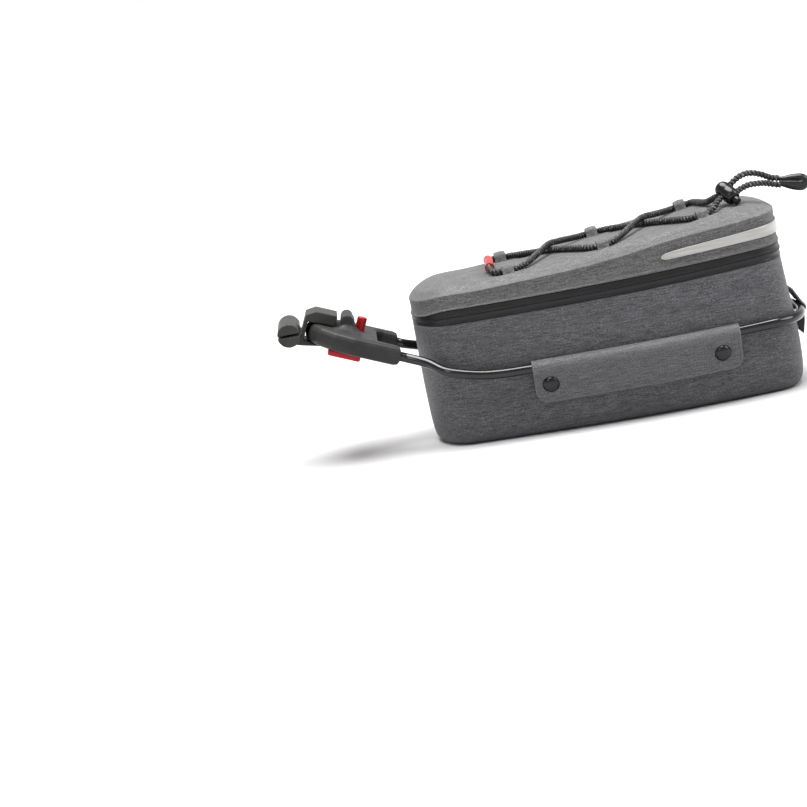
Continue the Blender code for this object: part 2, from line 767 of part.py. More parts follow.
def snap(name, x, side, bag):
    """Domed stud on the flap's outer face, turned to that face."""
    line = np.array(flap_section(x))
    steep = line[-2] - line[-3]
    steep /= np.linalg.norm(steep)
    height = float(rod_height(x)) - SNAP_DROP
    share = (line[-3, 1] - height) / (line[-3, 1] - line[-2, 1])
    foot = line[-3] + (line[-2] - line[-3]) * share
    normal = np.array([-steep[1], steep[0]])
    foot = foot + normal * (FLAP_THICK + GAP * 1.5)
    spot = Vector((x, side * (wall_half_width(x) + foot[0]), foot[1]))
    flare = (wall_half_width(x + SNAP_RADIUS) - wall_half_width(x - SNAP_RADIUS)) / SNAP_RADIUS / 2.0
    facing = Vector((-flare * normal[0], side * normal[0], normal[1]))
    rows = [(1.0, 0.0), (1.0, 0.22), (0.86, 0.55), (0.58, 0.86), (0.22, 1.0)]
    turn = np.linspace(0.0, 2 * np.pi, 12, endpoint=False)
    rings = []
    for wide, high in rows:
        r = SNAP_RADIUS * wide
        rings.append(np.stack([r * np.cos(turn), r * np.sin(turn), 0 * turn + SNAP_HEIGHT * high], axis=1))
    points, faces = skin(rings, ends="polygon")
    stud = add_object(name, mesh_from(name, points, faces), "black_plastic", bag, spot)
    stud.rotation_mode = "QUATERNION"
    stud.rotation_quaternion = facing.to_track_quat("Z", "Y")


def hoop_centre():
    """Middle of the rod's rear hoop: distance from the nose, and height."""
    wall = float(rod_level_plan(ROD_STEPS)[ROD_STEPS, 0])
    return wall + ROD_RADIUS + ROD_STAND_OFF, float(rod_height(BAG_LENGTH))


def rear_tab(bag):
    """Fabric tab from the rear wall over the top of the hoop and down behind it."""
    x, z = hoop_centre()
    clear = ROD_RADIUS + ROD_CLEARANCE
    wall = x - ROD_RADIUS - ROD_STAND_OFF
    line = [(wall + GAP * 2.0, z + TAB_RISE), (wall + TAB_THICK * 1.6, z + TAB_RISE * 0.78)]
    for angle in (48.0, 26.0, 0.0, -32.0):
        turn = math.radians(angle)
        line.append((x + clear * math.cos(turn), z + clear * math.sin(turn)))
    line = np.array(line)
    along = np.gradient(line, axis=0)
    normal = np.stack([-along[:, 1], along[:, 0]], axis=1)
    normal /= np.linalg.norm(normal, axis=1, keepdims=True)
    section = np.concatenate([line, (line + normal * TAB_THICK)[::-1]])
    rings = []
    for y in np.linspace(-TAB_HALF_WIDTH, TAB_HALF_WIDTH, 5):
        rings.append(np.array([(px, y, pz) for px, pz in section]))
    points, faces = skin(rings, ends="polygon")
    add_object("rear_tab", mesh_from("rear_tab", points, faces), "body_fabric", bag)


def rear_hook(bag):
    """Plastic hook that cups the hoop from below and ends in a downward point."""
    x, z = hoop_centre()
    clear = ROD_RADIUS + ROD_CLEARANCE
    inner = []
    for angle in np.linspace(HOOK_FROM, HOOK_TO, 5):
        turn = math.radians(angle)
        inner.append((x + clear * math.cos(turn), z + clear * math.sin(turn)))
    reach = clear + HOOK_WALL
    last = math.radians(HOOK_TO)
    outer = [
        (x + reach * math.cos(last), z + reach * math.sin(last)),
        (x + reach * 0.66, z - HOOK_DROP * 0.55),
        (x + HOOK_WALL * 0.86, z - HOOK_DROP),
        (x - HOOK_WALL * 0.29, z - HOOK_DROP * 0.84),
        (x - HOOK_WALL * 0.50, z - HOOK_DROP * 0.45),
    ]
    section = inner + outer
    rings = []
    for y in (-HOOK_HALF_WIDTH, HOOK_HALF_WIDTH):
        rings.append(np.array([(px, y, pz) for px, pz in section]))
    points, faces = skin(rings, ends="polygon")
    add_object("rear_hook", mesh_from("rear_hook", points, faces), "black_plastic", bag)


def extruded(name, section, low, high, axis, finish, parent, edge=0.0):
    """A prism: a closed section carried from low to high along y or z, with its long edges eased."""
    rings = []
    for value in (low, high):
        if axis == "y":
            rings.append(np.array([(a, value, b) for a, b in section]))
        else:
            rings.append(np.array([(a, b, value) for a, b in section]))
    points, faces = skin(rings, ends="polygon")
    mesh = mesh_from(name, points, faces)
    if edge:
        work = bmesh.new()
        work.from_mesh(mesh)
        index = 1 if axis == "y" else 2
        rim = [
            e
            for e in work.edges
            if abs(e.verts[0].co[index] - e.verts[1].co[index]) < 1e-6
        ]
        bmesh.ops.bevel(
            work, geom=rim, offset=edge, segments=2, profile=0.5, affect="EDGES", clamp_overlap=True
        )
        work.to_mesh(mesh)
        work.free()
        mesh.shade_smooth()
        mesh.set_sharp_from_angle(angle=math.radians(35.0))
    return add_object(name, mesh, finish, parent)


def cylinder(name, radius, low, high, finish, parent, location, sides=16, axis="Z"):
    """A round bar along Z, or along X."""
    turn = np.linspace(0.0, 2 * np.pi, sides, endpoint=False)
    rings = []
    for value in (low, high):
        rings.append(np.stack([radius * np.cos(turn), radius * np.sin(turn), 0 * turn + value], axis=1))
    points, faces = skin(rings, ends="polygon")
    if axis == "X":
        points = points[:, [2, 0, 1]]
    return add_object(name, mesh_from(name, points, faces), finish, parent, location)


def head_outline():
    """The head from above: two sockets at the rear, a notch between them, straight sides, round nose."""
    inner = HEAD_HALF_WIDTH - SOCKET_WIDTH
    half = [
        (-NOTCH_DEPTH, inner - NOTCH_CORNER),
        (-NOTCH_DEPTH + NOTCH_CORNER * 0.3, inner - NOTCH_CORNER * 0.3),
        (-NOTCH_DEPTH + NOTCH_CORNER, inner),
        (0.0, inner),
        (0.0, HEAD_HALF_WIDTH),
        (-HEAD_STRAIGHT, HEAD_HALF_WIDTH),
    ]
    for angle in (25.0, 48.0, 68.0, 84.0):
        turn = math.radians(angle)
        half.append((-HEAD_STRAIGHT - HEAD_NOSE * math.sin(turn), HEAD_HALF_WIDTH * math.cos(turn)))
    other = [(x, -y) for x, y in reversed(half)]
    return half + other


def coupling_head(head):
    top = HEAD_THICK / 2.0
    body = extruded(
        "coupling_head", head_outline(), -top, top, "z", "head_plastic", head, HEAD_EDGE
    )
    half = HUMP_THICK / 2.0
    arc = []
    for angle in np.linspace(0.0, 180.0, 7):
        turn = math.radians(angle)
        arc.append((half * math.cos(turn), HUMP_RISE - half + half * math.sin(turn)))
    section = [(half, -HUMP_FOOT), *arc, (-half, -HUMP_FOOT)]
    hump = hidden(
        extruded("hump", section, -HUMP_WIDTH / 2.0, HUMP_WIDTH / 2.0, "y", None, head, HUMP_EDGE)
    )
    hump.location = (-HUMP_BEHIND, 0.0, top)
    hump.rotation_euler = (0.0, RIDE_PITCH - HEAD_PITCH, 0.0)
    boolean(body, hump, "UNION")
    for side in (-1, 1):
        name = "socket_bore_left" if side < 0 else "socket_bore_right"
        bore = cylinder(
            name,
            ROD_RADIUS + RUNNING_GAP,
            -SOCKET_DEPTH,
            CUT_BEYOND,
            None,
            head,
            (0.0, side * ROD_HALF_SPACING, 0.0),
            12,
            "X",
        )
        boolean(body, hidden(bore), "DIFFERENCE")
    well = cylinder(
        "button_well",
        BUTTON_RADIUS + RUNNING_GAP,
        -(BUTTON_INSIDE + BUTTON_TRAVEL + GAP * 2),
        CUT_BEYOND,
        None,
        head,
        (-BUTTON_BEHIND, 0.0, top),
    )
    boolean(body, hidden(well), "DIFFERENCE")
    front = -BAR_START - BAR_LENGTH - GAP
    back = -BAR_START + GAP
    side = BAR_HALF_WIDTH + GAP
    section = [(back, -side), (back, side), (front, side), (front, -side)]
    pocket_roof = -top + BAR_INSIDE + BAR_TRAVEL + GAP * 2
    pocket = extruded("bar_pocket", section, -top - CUT_BEYOND, pocket_roof, "z", None, head)
    boolean(body, hidden(pocket), "DIFFERENCE")


def release_button(head):
    """Push button: a round stem that sinks into its well along the head's own upward axis."""
    place = (-BUTTON_BEHIND, 0.0, HEAD_THICK / 2.0)
    turn = np.linspace(0.0, 2 * np.pi, 16, endpoint=False)
    rings = []
    for radius, height in (
        (BUTTON_RADIUS, -BUTTON_INSIDE),
        (BUTTON_RADIUS, BUTTON_RISE - BUTTON_EDGE),
        (BUTTON_RADIUS - BUTTON_EDGE, BUTTON_RISE),
    ):
        rings.append(np.stack([radius * np.cos(turn), radius * np.sin(turn), 0 * turn + height], axis=1))
    points, faces = skin(rings, ends="polygon")
    add_object("release_button", mesh_from("release_button", points, faces), "red_plastic", head, place)


def release_bar(head):
    """Bar under the head, which presses up into its pocket."""
    side = BAR_HALF_WIDTH
    section = [(0.0, -side), (0.0, side), (-BAR_LENGTH, side), (-BAR_LENGTH, -side)]
    bar = extruded("release_bar", section, -BAR_PROUD, BAR_INSIDE, "z", "red_plastic", head, BAR_EDGE)
    bar.location = (-BAR_START, 0.0, -HEAD_THICK / 2.0)


def saddle_adapter(head):
    """Fork round the head's nose, with the lower half of the rail jaw in front."""
    top = HEAD_THICK / 2.0 + GAP
    web = HEAD_STRAIGHT + HEAD_NOSE + GAP
    back = -HUMP_BEHIND - HUMP_THICK / 2.0 - HUMP_CLEARANCE
    lean = HEAD_PITCH - RIDE_PITCH
    fall = WEDGE_LENGTH * math.tan(lean)
    section = [
        (-web, -top),
        (-web + WEDGE_LENGTH, -top),
        (-web + WEDGE_LENGTH, -top - WEDGE_TIP),
        (-web, -top - fall),
        (-JAW_AHEAD + JAW_RADIUS * 0.23, -JAW_DROP - JAW_RADIUS * 0.85),
        (-JAW_AHEAD + JAW_RADIUS * 0.23, -JAW_DROP - JAW_RADIUS * 0.35),
        (-web - WEB_THICK, -JAW_DROP + GAP),
        (-web - WEB_THICK, top + ADAPTER_TOP * 0.5),
        (-web + ADAPTER_SLOPE, top + ADAPTER_TOP),
        (back, top + ADAPTER_TOP),
        (back, top),
        (-web, top),
    ]
    body = extruded(
        "saddle_adapter", section, -ADAPTER_HALF_WIDTH, ADAPTER_HALF_WIDTH, "y", "head_plastic", head, 0.0
    )
    jaw = hidden(half_jaw("lower_jaw", -1.0, head))
    boolean(body, jaw, "UNION")
    post_top = CLAMP_SPLIT / 2.0 - GAP
    post = cylinder("clamp_post", CLAMP_POST_RADIUS, -JAW_RADIUS / 2.0, post_top, None, head, jaw.location)
    post.rotation_euler = jaw.rotation_euler
    boolean(body, hidden(post), "UNION")
    for side in (-1, 1):
        name = "rail_left" if side < 0 else "rail_right"
        reach = JAW_RADIUS * 4.0
        rail = cylinder(name, RAIL_RADIUS, -reach, reach, None, head, (0.0, 0.0, 0.0), 12, "X")
        rail.location = (-JAW_AHEAD, side * RAIL_HALF_SPACING, -JAW_DROP)
        rail.rotation_euler = (0.0, -HEAD_PITCH, 0.0)
        boolean(body, hidden(rail), "DIFFERENCE")


def half_jaw(name, side, head, finish=None):
    """Half of the round rail jaw: the half below the rail grooves, or the clamp plate above."""
    section = []
    start = math.asin(CLAMP_SPLIT / 2.0 / JAW_RADIUS)
    for turn in np.linspace(start, math.pi - start, 9):
        section.append((JAW_RADIUS * math.cos(turn), side * JAW_RADIUS * math.sin(turn)))
    jaw = extruded(name, section, -JAW_HALF_WIDTH, JAW_HALF_WIDTH, "y", finish, head, 0.0)
    jaw.location = (-JAW_AHEAD, 0.0, -JAW_DROP)
    jaw.rotation_euler = (0.0, -HEAD_PITCH, 0.0)
    return jaw


def rail_clamp(head):
    """Upper half of the jaw, with two rail grooves and a flat top."""
    plate = half_jaw("rail_clamp", 1.0, head, "black_plastic")
    for side in (-1, 1):
        boolean(plate, bpy.data.objects["rail_left" if side < 0 else "rail_right"], "DIFFERENCE")


def cord_loop(row, bag):
    """Fabric loop over the cord: an arch with two short feet on the lid."""
    x = row["along"] * BAG_LENGTH
    y = row["across"] * MAX_HALF_WIDTH
    z = lid_height(x, y)
    reach = LOOP_LENGTH / 2.0
    slope_y = (lid_height(x, y + reach) - lid_height(x, y - reach)) / LOOP_LENGTH
    slope_x = (lid_height(x + reach, y) - lid_height(x - reach, y)) / LOOP_LENGTH
    inner = CORD_RADIUS + LOOP_CLEARANCE
    middle = CORD_RADIUS + CORD_LIFT
    line = [(inner + LOOP_FOOT, GAP * 2.0), (inner + GAP * 2.0, GAP * 3.0)]
    for angle in (10.0, 50.0, 90.0, 130.0, 170.0):
        turn = math.radians(angle)
        line.append((inner * math.cos(turn), middle + inner * math.sin(turn)))
    line += [(-inner - GAP * 2.0, GAP * 3.0), (-inner - LOOP_FOOT, GAP * 2.0)]
    line = np.array(line)
    along = np.gradient(line, axis=0)
    normal = np.stack([along[:, 1], -along[:, 0]], axis=1)
    normal /= np.linalg.norm(normal, axis=1, keepdims=True)
    section = np.concatenate([line, (line + normal * LOOP_THICK)[::-1]])
    rings = []
    for value in (-LOOP_LENGTH / 2.0, LOOP_LENGTH / 2.0):
        rings.append(np.array([(value, a, b) for a, b in section]))
    points, faces = skin(rings, ends="polygon")
    name = "cord_loop_" + row["name"]
    tilt = Euler((math.atan(slope_y), -math.atan(slope_x), 0.0))
    place = Vector((x, y, z + middle)) - tilt.to_matrix() @ Vector((0.0, 0.0, middle))
    loop = add_object(name, mesh_from(name, points, faces), "lid_fabric", bag, place)
    loop.rotation_euler = tilt


def lacing_points():
    points = []
    for along, across, lift in LACING_ROUTE:
        x = along * BAG_LENGTH
        y = across * MAX_HALF_WIDTH
        height = lid_height(x, y) + CORD_LIFT + CORD_RADIUS + lift * 2.0 * CORD_RADIUS
        points.append((x, y, height))
    return points


def lacing_cord(bag):
    tube("lacing_cord", catmull(lacing_points(), CORD_STEP), CORD_RADIUS, "cord", bag)


def cord_sleeve(bag):
    """Sleeve round the cord where it turns across the front of the lid."""
    run = catmull(lacing_points(), SLEEVE_STEP)
    ahead_of_loops = run[:, 0] < LOOPS[0]["along"] * BAG_LENGTH - LOOP_LENGTH
    keep = run[ahead_of_loops & (np.abs(run[:, 1]) < SLEEVE_HALF_LENGTH)]
    rings = []
    turn = np.linspace(0.0, 2 * np.pi, 10, endpoint=False)
    up = np.array([0.0, 0.0, 1.0])
    for radius in (SLEEVE_RADIUS, CORD_RADIUS + GAP):
        wall = []
        for i, spot in enumerate(keep):
            ahead = keep[min(i + 1, len(keep) - 1)] - keep[max(i - 1, 0)]
            ahead /= np.linalg.norm(ahead)
            side = np.cross(ahead, up)
            side /= np.linalg.norm(side)
            over = np.cross(side, ahead)
            wall.append(spot + radius * (np.outer(np.cos(turn), side) + np.outer(np.sin(turn), over)))
        rings += wall if radius == SLEEVE_RADIUS else wall[::-1]
    points, faces = skin(rings, wrap=True)
    add_object("cord_sleeve", mesh_from("cord_sleeve", points, faces), "red_plastic", bag)


def over_lid(row):
    """The point that a row of shares and a lift over the lid stands for."""
    x = row["along"] * BAG_LENGTH
    y = row["across"] * MAX_HALF_WIDTH
    return Vector((x, y, lid_height(x, y) + row["lift"]))


def tail_points(route):
    """A free end's points in the bag's frame, from its offsets."""
    return np.array(over_lid(LOCK_HIGH_END)) + np.array(route)


def lock_frame(bag):
    """An empty at the barrel's middle, with its z axis from the plunger end to the other end."""
    low = over_lid(LOCK_LOW_END)
    high = over_lid(LOCK_HIGH_END)
    axis = (high - low).normalized()
    made = empty("lock_frame", high - axis * (LOCK_LENGTH / 2.0), 0.0, bag)
    made.rotation_mode = "QUATERNION"
    made.rotation_quaternion = axis.to_track_quat("Z", "Y")
    return made


def cord_lock(frame):
    """Barrel of the lock with a well for its plunger."""
    half = LOCK_LENGTH / 2.0
    turn = np.linspace(0.0, 2 * np.pi, 16, endpoint=False)
    rings = []
    for wide, high in ((0.72, -1.0), (0.94, -0.8), (1.0, -0.3), (1.0, 0.35), (0.86, 0.75), (0.5, 1.0)):
        r = LOCK_RADIUS * wide
        rings.append(np.stack([r * np.cos(turn), r * np.sin(turn), 0 * turn + half * high], axis=1))
    points, faces = skin(rings, ends="polygon")
    barrel = add_object("cord_lock", mesh_from("cord_lock", points, faces), "black_plastic", frame)
    well = cylinder(
        "plunger_well",
        PLUNGER_RADIUS + RUNNING_GAP,
        -half - CUT_BEYOND,
        -half + PLUNGER_INSIDE + PLUNGER_TRAVEL + GAP * 2,
        None,
        frame,
        (0.0, 0.0, 0.0),
    )
    boolean(barrel, hidden(well), "DIFFERENCE")


def lock_plunger(frame):
    """Push end of the lock, which sinks into the barrel."""
    half = LOCK_LENGTH / 2.0
    turn = np.linspace(0.0, 2 * np.pi, 14, endpoint=False)
    rings = []
    for radius, height in (
        (PLUNGER_RADIUS * 0.8, -half - PLUNGER_REACH),
        (PLUNGER_RADIUS, -half - PLUNGER_REACH + PLUNGER_EDGE),
        (PLUNGER_RADIUS, -half + PLUNGER_INSIDE),
    ):
        rings.append(np.stack([radius * np.cos(turn), radius * np.sin(turn), 0 * turn + height], axis=1))
    points, faces = skin(rings, ends="polygon")
    add_object("lock_plunger", mesh_from("lock_plunger", points, faces), "black_plastic", frame)


def cord_end(bag):
    """Drop-shaped pull at the end of both tails."""
    start = (tail_points(UPPER_TAIL_ROUTE)[-1] + tail_points(LOWER_TAIL_ROUTE)[-1]) / 2.0
    rows = [(0.0, 0.55), (0.16, 0.68), (0.42, 0.90), (0.68, 1.0), (0.88, 0.80), (1.0, 0.36)]
    turn = np.linspace(0.0, 2 * np.pi, 14, endpoint=False)
    rings = []
    for along, wide in rows:
        rings.append(
            np.stack(
                [
                    0 * turn + END_LENGTH * along,
                    END_THICK / 2.0 * wide * np.cos(turn),
                    END_WIDTH / 2.0 * wide * np.sin(turn),
                ],
                axis=1,
            )
        )
    points, faces = skin(rings, ends="polygon")
    place = start + np.array([GAP * 3.0, 0.0, 0.0])
    drop = add_object("cord_end", mesh_from("cord_end", points, faces), "black_plastic", bag, place)
    drop.rotation_euler = (0.0, END_PITCH, 0.0)


def build():
    clear_scene()
    bag = empty("bag_nose", (-BAG_LENGTH / 2.0, 0.0, 0.0))
    bag_body(bag)
    zip_tape(bag)
    zip_slider(bag)
    bag_lid(bag)
    reflective_strip(bag)
    carrier_rod(bag)
    for name, side in (("left", -1), ("right", 1)):
        flap("flap_" + name, side, bag)
        snap("snap_" + name + "_front", FLAP_START + FRONT_SNAP_INSET, side, bag)
        snap("snap_" + name + "_rear", FLAP_END - REAR_SNAP_INSET, side, bag)
    rear_tab(bag)
    rear_hook(bag)
    head = empty("head_frame", (SOCKET_END, 0.0, ROD_END_HEIGHT), HEAD_PITCH, bag)
    coupling_head(head)
    release_button(head)
    release_bar(head)
    saddle_adapter(head)
    rail_clamp(head)
    for row in LOOPS:
        cord_loop(row, bag)
    lacing_cord(bag)
    cord_sleeve(bag)
    lock = lock_frame(bag)
    cord_lock(lock)
    lock_plunger(lock)
    for name, route in (("upper", UPPER_TAIL_ROUTE), ("lower", LOWER_TAIL_ROUTE)):
        line = catmull(tail_points(route), TAIL_STEP)
        tube("cord_tail_" + name, line, CORD_RADIUS, "cord", bag)
    cord_end(bag)


build()
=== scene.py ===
"""Looks of the bicycle saddle bag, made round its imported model.

Metres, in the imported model's frame: the bag stands on its base, -X is its nose and -Y its left side.
"""

import math

import bmesh
import bpy
import numpy as np
from mathutils import Matrix, Vector


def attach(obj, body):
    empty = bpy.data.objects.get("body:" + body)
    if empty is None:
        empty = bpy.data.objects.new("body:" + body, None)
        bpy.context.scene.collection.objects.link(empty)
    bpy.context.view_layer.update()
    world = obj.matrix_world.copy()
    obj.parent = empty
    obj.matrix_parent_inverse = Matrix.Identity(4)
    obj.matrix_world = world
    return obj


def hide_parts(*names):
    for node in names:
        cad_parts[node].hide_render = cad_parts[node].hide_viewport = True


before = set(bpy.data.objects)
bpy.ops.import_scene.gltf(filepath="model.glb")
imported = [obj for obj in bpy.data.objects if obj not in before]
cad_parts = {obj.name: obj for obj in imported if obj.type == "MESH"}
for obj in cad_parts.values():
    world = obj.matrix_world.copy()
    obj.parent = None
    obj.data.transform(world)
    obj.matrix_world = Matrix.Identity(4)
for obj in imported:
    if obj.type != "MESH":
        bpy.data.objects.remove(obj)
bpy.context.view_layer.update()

# Camera, floor and light: a long lens a little above the bag, level with its left side and
# tipped to one side, so that the bag stands nose down in the picture. A wide, soft light from
# above makes the lid brighter than the walls, two smaller lights put highlights on what is
# glossy, and floor and air are near white.
CAMERA_PLACE = (-0.16695, -1.97417, 0.35090)
CAMERA_RIGHT = (0.98421, -0.03490, -0.17354)
CAMERA_UP = (0.17689, 0.15634, 0.97174)
CAMERA_BACK = (-0.00678, -0.98709, 0.16004)


def added(name, data):
    """A new object in the scene, at the origin."""
    made = bpy.data.objects.new(name, data)
    bpy.context.scene.collection.objects.link(made)
    return made


def make_camera():
    """A long lens, its three axes and its place set as columns."""
    data = bpy.data.cameras.new("camera")
    data.lens = 120.57
    data.sensor_width = 36.0
    data.clip_end = 60.0
    camera = added("camera", data)
    columns = zip(CAMERA_RIGHT, CAMERA_UP, CAMERA_BACK, CAMERA_PLACE)
    camera.matrix_world = Matrix([*columns, (0.0, 0.0, 0.0, 1.0)])
    bpy.context.scene.camera = camera


def make_light():
    """Three suns, each as wide as its spread, and air that is white at the horizon and greyer above."""
    for name, power, spread, toward in (
        ("top_panel", 7.9, 50.0, (0.05, -0.05, -1.0)),
        ("side_panel", 0.34, 14.0, (0.7, 1.0, -0.75)),
        ("tail_panel", 1.90, 38.0, (-0.8, 0.15, -0.6)),
    ):
        data = bpy.data.lights.new(name, "SUN")
        data.energy = power
        data.angle = math.radians(spread)
        panel = added(name, data)
        panel.rotation_mode = "QUATERNION"
        panel.rotation_quaternion = Vector(toward).to_track_quat("-Z", "Y")
    world = bpy.data.worlds.new("studio")
    world.use_nodes = True
    tree = world.node_tree
    toward = tree.nodes.new("ShaderNodeTexCoord")
    split = tree.nodes.new("ShaderNodeSeparateXYZ")
    fall = tree.nodes.new("ShaderNodeMapRange")
    tree.links.new(toward.outputs["Generated"], split.inputs[0])
    tree.links.new(split.outputs["Z"], fall.inputs["Value"])
    for key, value in {"From Min": 0.04, "From Max": 0.40, "To Min": 1.0, "To Max": 0.40}.items():
        fall.inputs[key].default_value = value
    tree.links.new(fall.outputs["Result"], tree.nodes["Background"].inputs["Color"])
    bpy.context.scene.world = world
    bpy.context.scene.view_settings.view_transform = "Standard"


def new_finish(name):
    """A new material and its node tree."""
    made = bpy.data.materials.new(name)
    made.use_nodes = True
    return made, made.node_tree


def make_floor():
    """A wide matt square just under the bag."""
    reach, height = 40.0, -0.0003
    corners = [(x * reach, y * reach, height) for x, y in ((-1, -1), (1, -1), (1, 1), (-1, 1))]
    mesh = bpy.data.meshes.new("floor")
    mesh.from_pydata(corners, [], [(0, 1, 2, 3)])
    floor = added("floor", mesh)
    paint, tree = new_finish("floor_paint")
    shader = tree.nodes["Principled BSDF"]
    shader.inputs["Base Color"].default_value = (0.46, 0.46, 0.46, 1.0)
    shader.inputs["Roughness"].default_value = 0.9
    shader.inputs["Specular IOR Level"].default_value = 0.1
    mesh.materials.append(paint)


make_camera()
make_light()
make_floor()

# The bag's body: a tub of heathered, coated fabric over thin foam, welded along its edges. It is
# a straight-sided lofted shell with a round nose and tail, a rounded edge round its flat base,
# and an open top that the zip tape closes.
LENGTH = 0.272
NOSE = np.array([-LENGTH / 2.0, 0.0, 0.0])
MAX_HALF_WIDTH = 0.070
WIDEST_AT = 0.168
NOSE_HALF_WIDTH = 0.048
TAIL_HALF_WIDTH = 0.056
END_CAP = 0.024
BODY_HEIGHT = 0.0892
CLIMB_FROM = 0.072
ZIP_RISE = 0.0066
TAIL_LEAN = 0.0065
SPINE_SHARE = 0.62
WALL = 0.002
AROUND = 320
BODY_LEVELS = np.array(
    [
        # height, drawn in, lean of the tail
        (0.0000, 0.150, 1.00),
        (0.0010, 0.110, 1.00),
        (0.0035, 0.072, 1.00),
        (0.0070, 0.050, 1.00),
        (0.0130, 0.034, 1.00),
        (0.0270, 0.018, 0.95),
        (0.0500, 0.005, 0.66),
        (0.0720, 0.000, 0.28),
        (0.0892, 0.000, 0.00),
    ]
)


def smooth(table, column, where):
    """A column of a table, read smoothly at places in the table's first column: cubic pieces that
    share the slope of their neighbours' chord."""
    x, y = table[:, 0], table[:, column]
    slope = np.gradient(y, x)
    where = np.clip(np.asarray(where, float), x[0], x[-1])
    i = np.clip(np.searchsorted(x, where, side="right") - 1, 0, len(x) - 2)
    width = x[i + 1] - x[i]
    t = (where - x[i]) / width
    keep = 2 * t**3 - 3 * t**2 + 1
    bend = (t**3 - 2 * t**2 + t) * slope[i] + (t**3 - t**2) * slope[i + 1]
    return keep * y[i] + (1 - keep) * y[i + 1] + bend * width


def half_width(x):
    """Half the bag's width at a distance from the nose: a bellied side times two rounded ends."""
    x = np.clip(np.asarray(x, float), 0.0, LENGTH)
    ahead = np.clip((WIDEST_AT - x) / WIDEST_AT, 0.0, 1.0)
    behind = np.clip((x - WIDEST_AT) / (LENGTH - WIDEST_AT), 0.0, 1.0)
    side = MAX_HALF_WIDTH - (MAX_HALF_WIDTH - NOSE_HALF_WIDTH) * ahead**1.6
    side = side - (MAX_HALF_WIDTH - TAIL_HALF_WIDTH) * behind**2
    nose = np.clip(1.0 - x / END_CAP, 0.0, 1.0)
    tail = np.clip(1.0 - (LENGTH - x) / END_CAP, 0.0, 1.0)
    return side * (1.0 - nose**2.0) ** 0.5 * (1.0 - tail**2.8) ** (1 / 2.8)


def run_along(points):
    """Distance along a line of points, from its first point."""
    return np.concatenate([[0.0], np.cumsum(np.linalg.norm(np.diff(points, axis=0), axis=1))])


def read_along(at, run, values):
    """Rows of values, read at distances along the line that they belong to."""
    return np.stack([np.interp(at, run, column) for column in values.T], axis=-1)


def bell(x, width):
    """A bell curve: 1 at nothing, and 1/e at its width."""
    return np.exp(-((x / width) ** 2))


def left_side(steps):
    """Points down the bag's left side in plan, closer together towards both ends."""
    x = LENGTH * (1.0 - np.cos(np.pi * np.arange(steps + 1) / steps)) / 2.0
    return np.stack([x, -half_width(x)], axis=1)


def both_sides(left):
    """A ring: back along the left side and forward along its mirror image."""
    return np.concatenate([left, left[-2:0:-1] * (1.0, -1.0)])


def outline(count=AROUND):
    """The bag in plan as a ring of points at equal steps, and each point's distance from the nose."""
    left = left_side(2000)
    run = run_along(left)
    marks = np.linspace(0.0, run[-1], count // 2 + 1)
    arc = np.concatenate([marks, marks[-2:0:-1]])
    return both_sides(read_along(marks, run, left)), arc


def outward(plan):
    """Outward normals of the outline: the step along it, turned a quarter turn."""
    along = np.roll(plan, -1, axis=0) - np.roll(plan, 1, axis=0)
    normal = np.stack([along[:, 1], -along[:, 0]], axis=1)
    return normal / np.linalg.norm(normal, axis=1, keepdims=True)


def drawn_in(plan, share):
    """The outline moved by a share of the way to the spine, a shorter line down the middle."""
    spine = LENGTH / 2.0 + SPINE_SHARE * (plan[:, 0] - LENGTH / 2.0)
    goal = np.stack([spine, np.zeros(len(plan))], axis=1)
    return plan + (goal - plan) * share


def body_plan(plan, height):
    """The body's outline at a height: drawn in as the base rounds up, its tail leaning back."""
    draw_in = smooth(BODY_LEVELS, 1, height)
    lean = smooth(BODY_LEVELS, 2, height)
    ring = drawn_in(plan, draw_in)
    share = np.clip((ring[:, 0] / LENGTH - 0.55) / 0.45, 0.0, 1.0)
    ring[:, 0] += TAIL_LEAN * lean * share * share * (3.0 - 2.0 * share)
    return ring


def zip_low(x):
    """Height of the zip tape's lower edge, which climbs a little faster towards the tail."""
    share = np.asarray(x, float) / LENGTH
    return BODY_HEIGHT + ZIP_RISE * (0.25 * share + 0.75 * share**2)


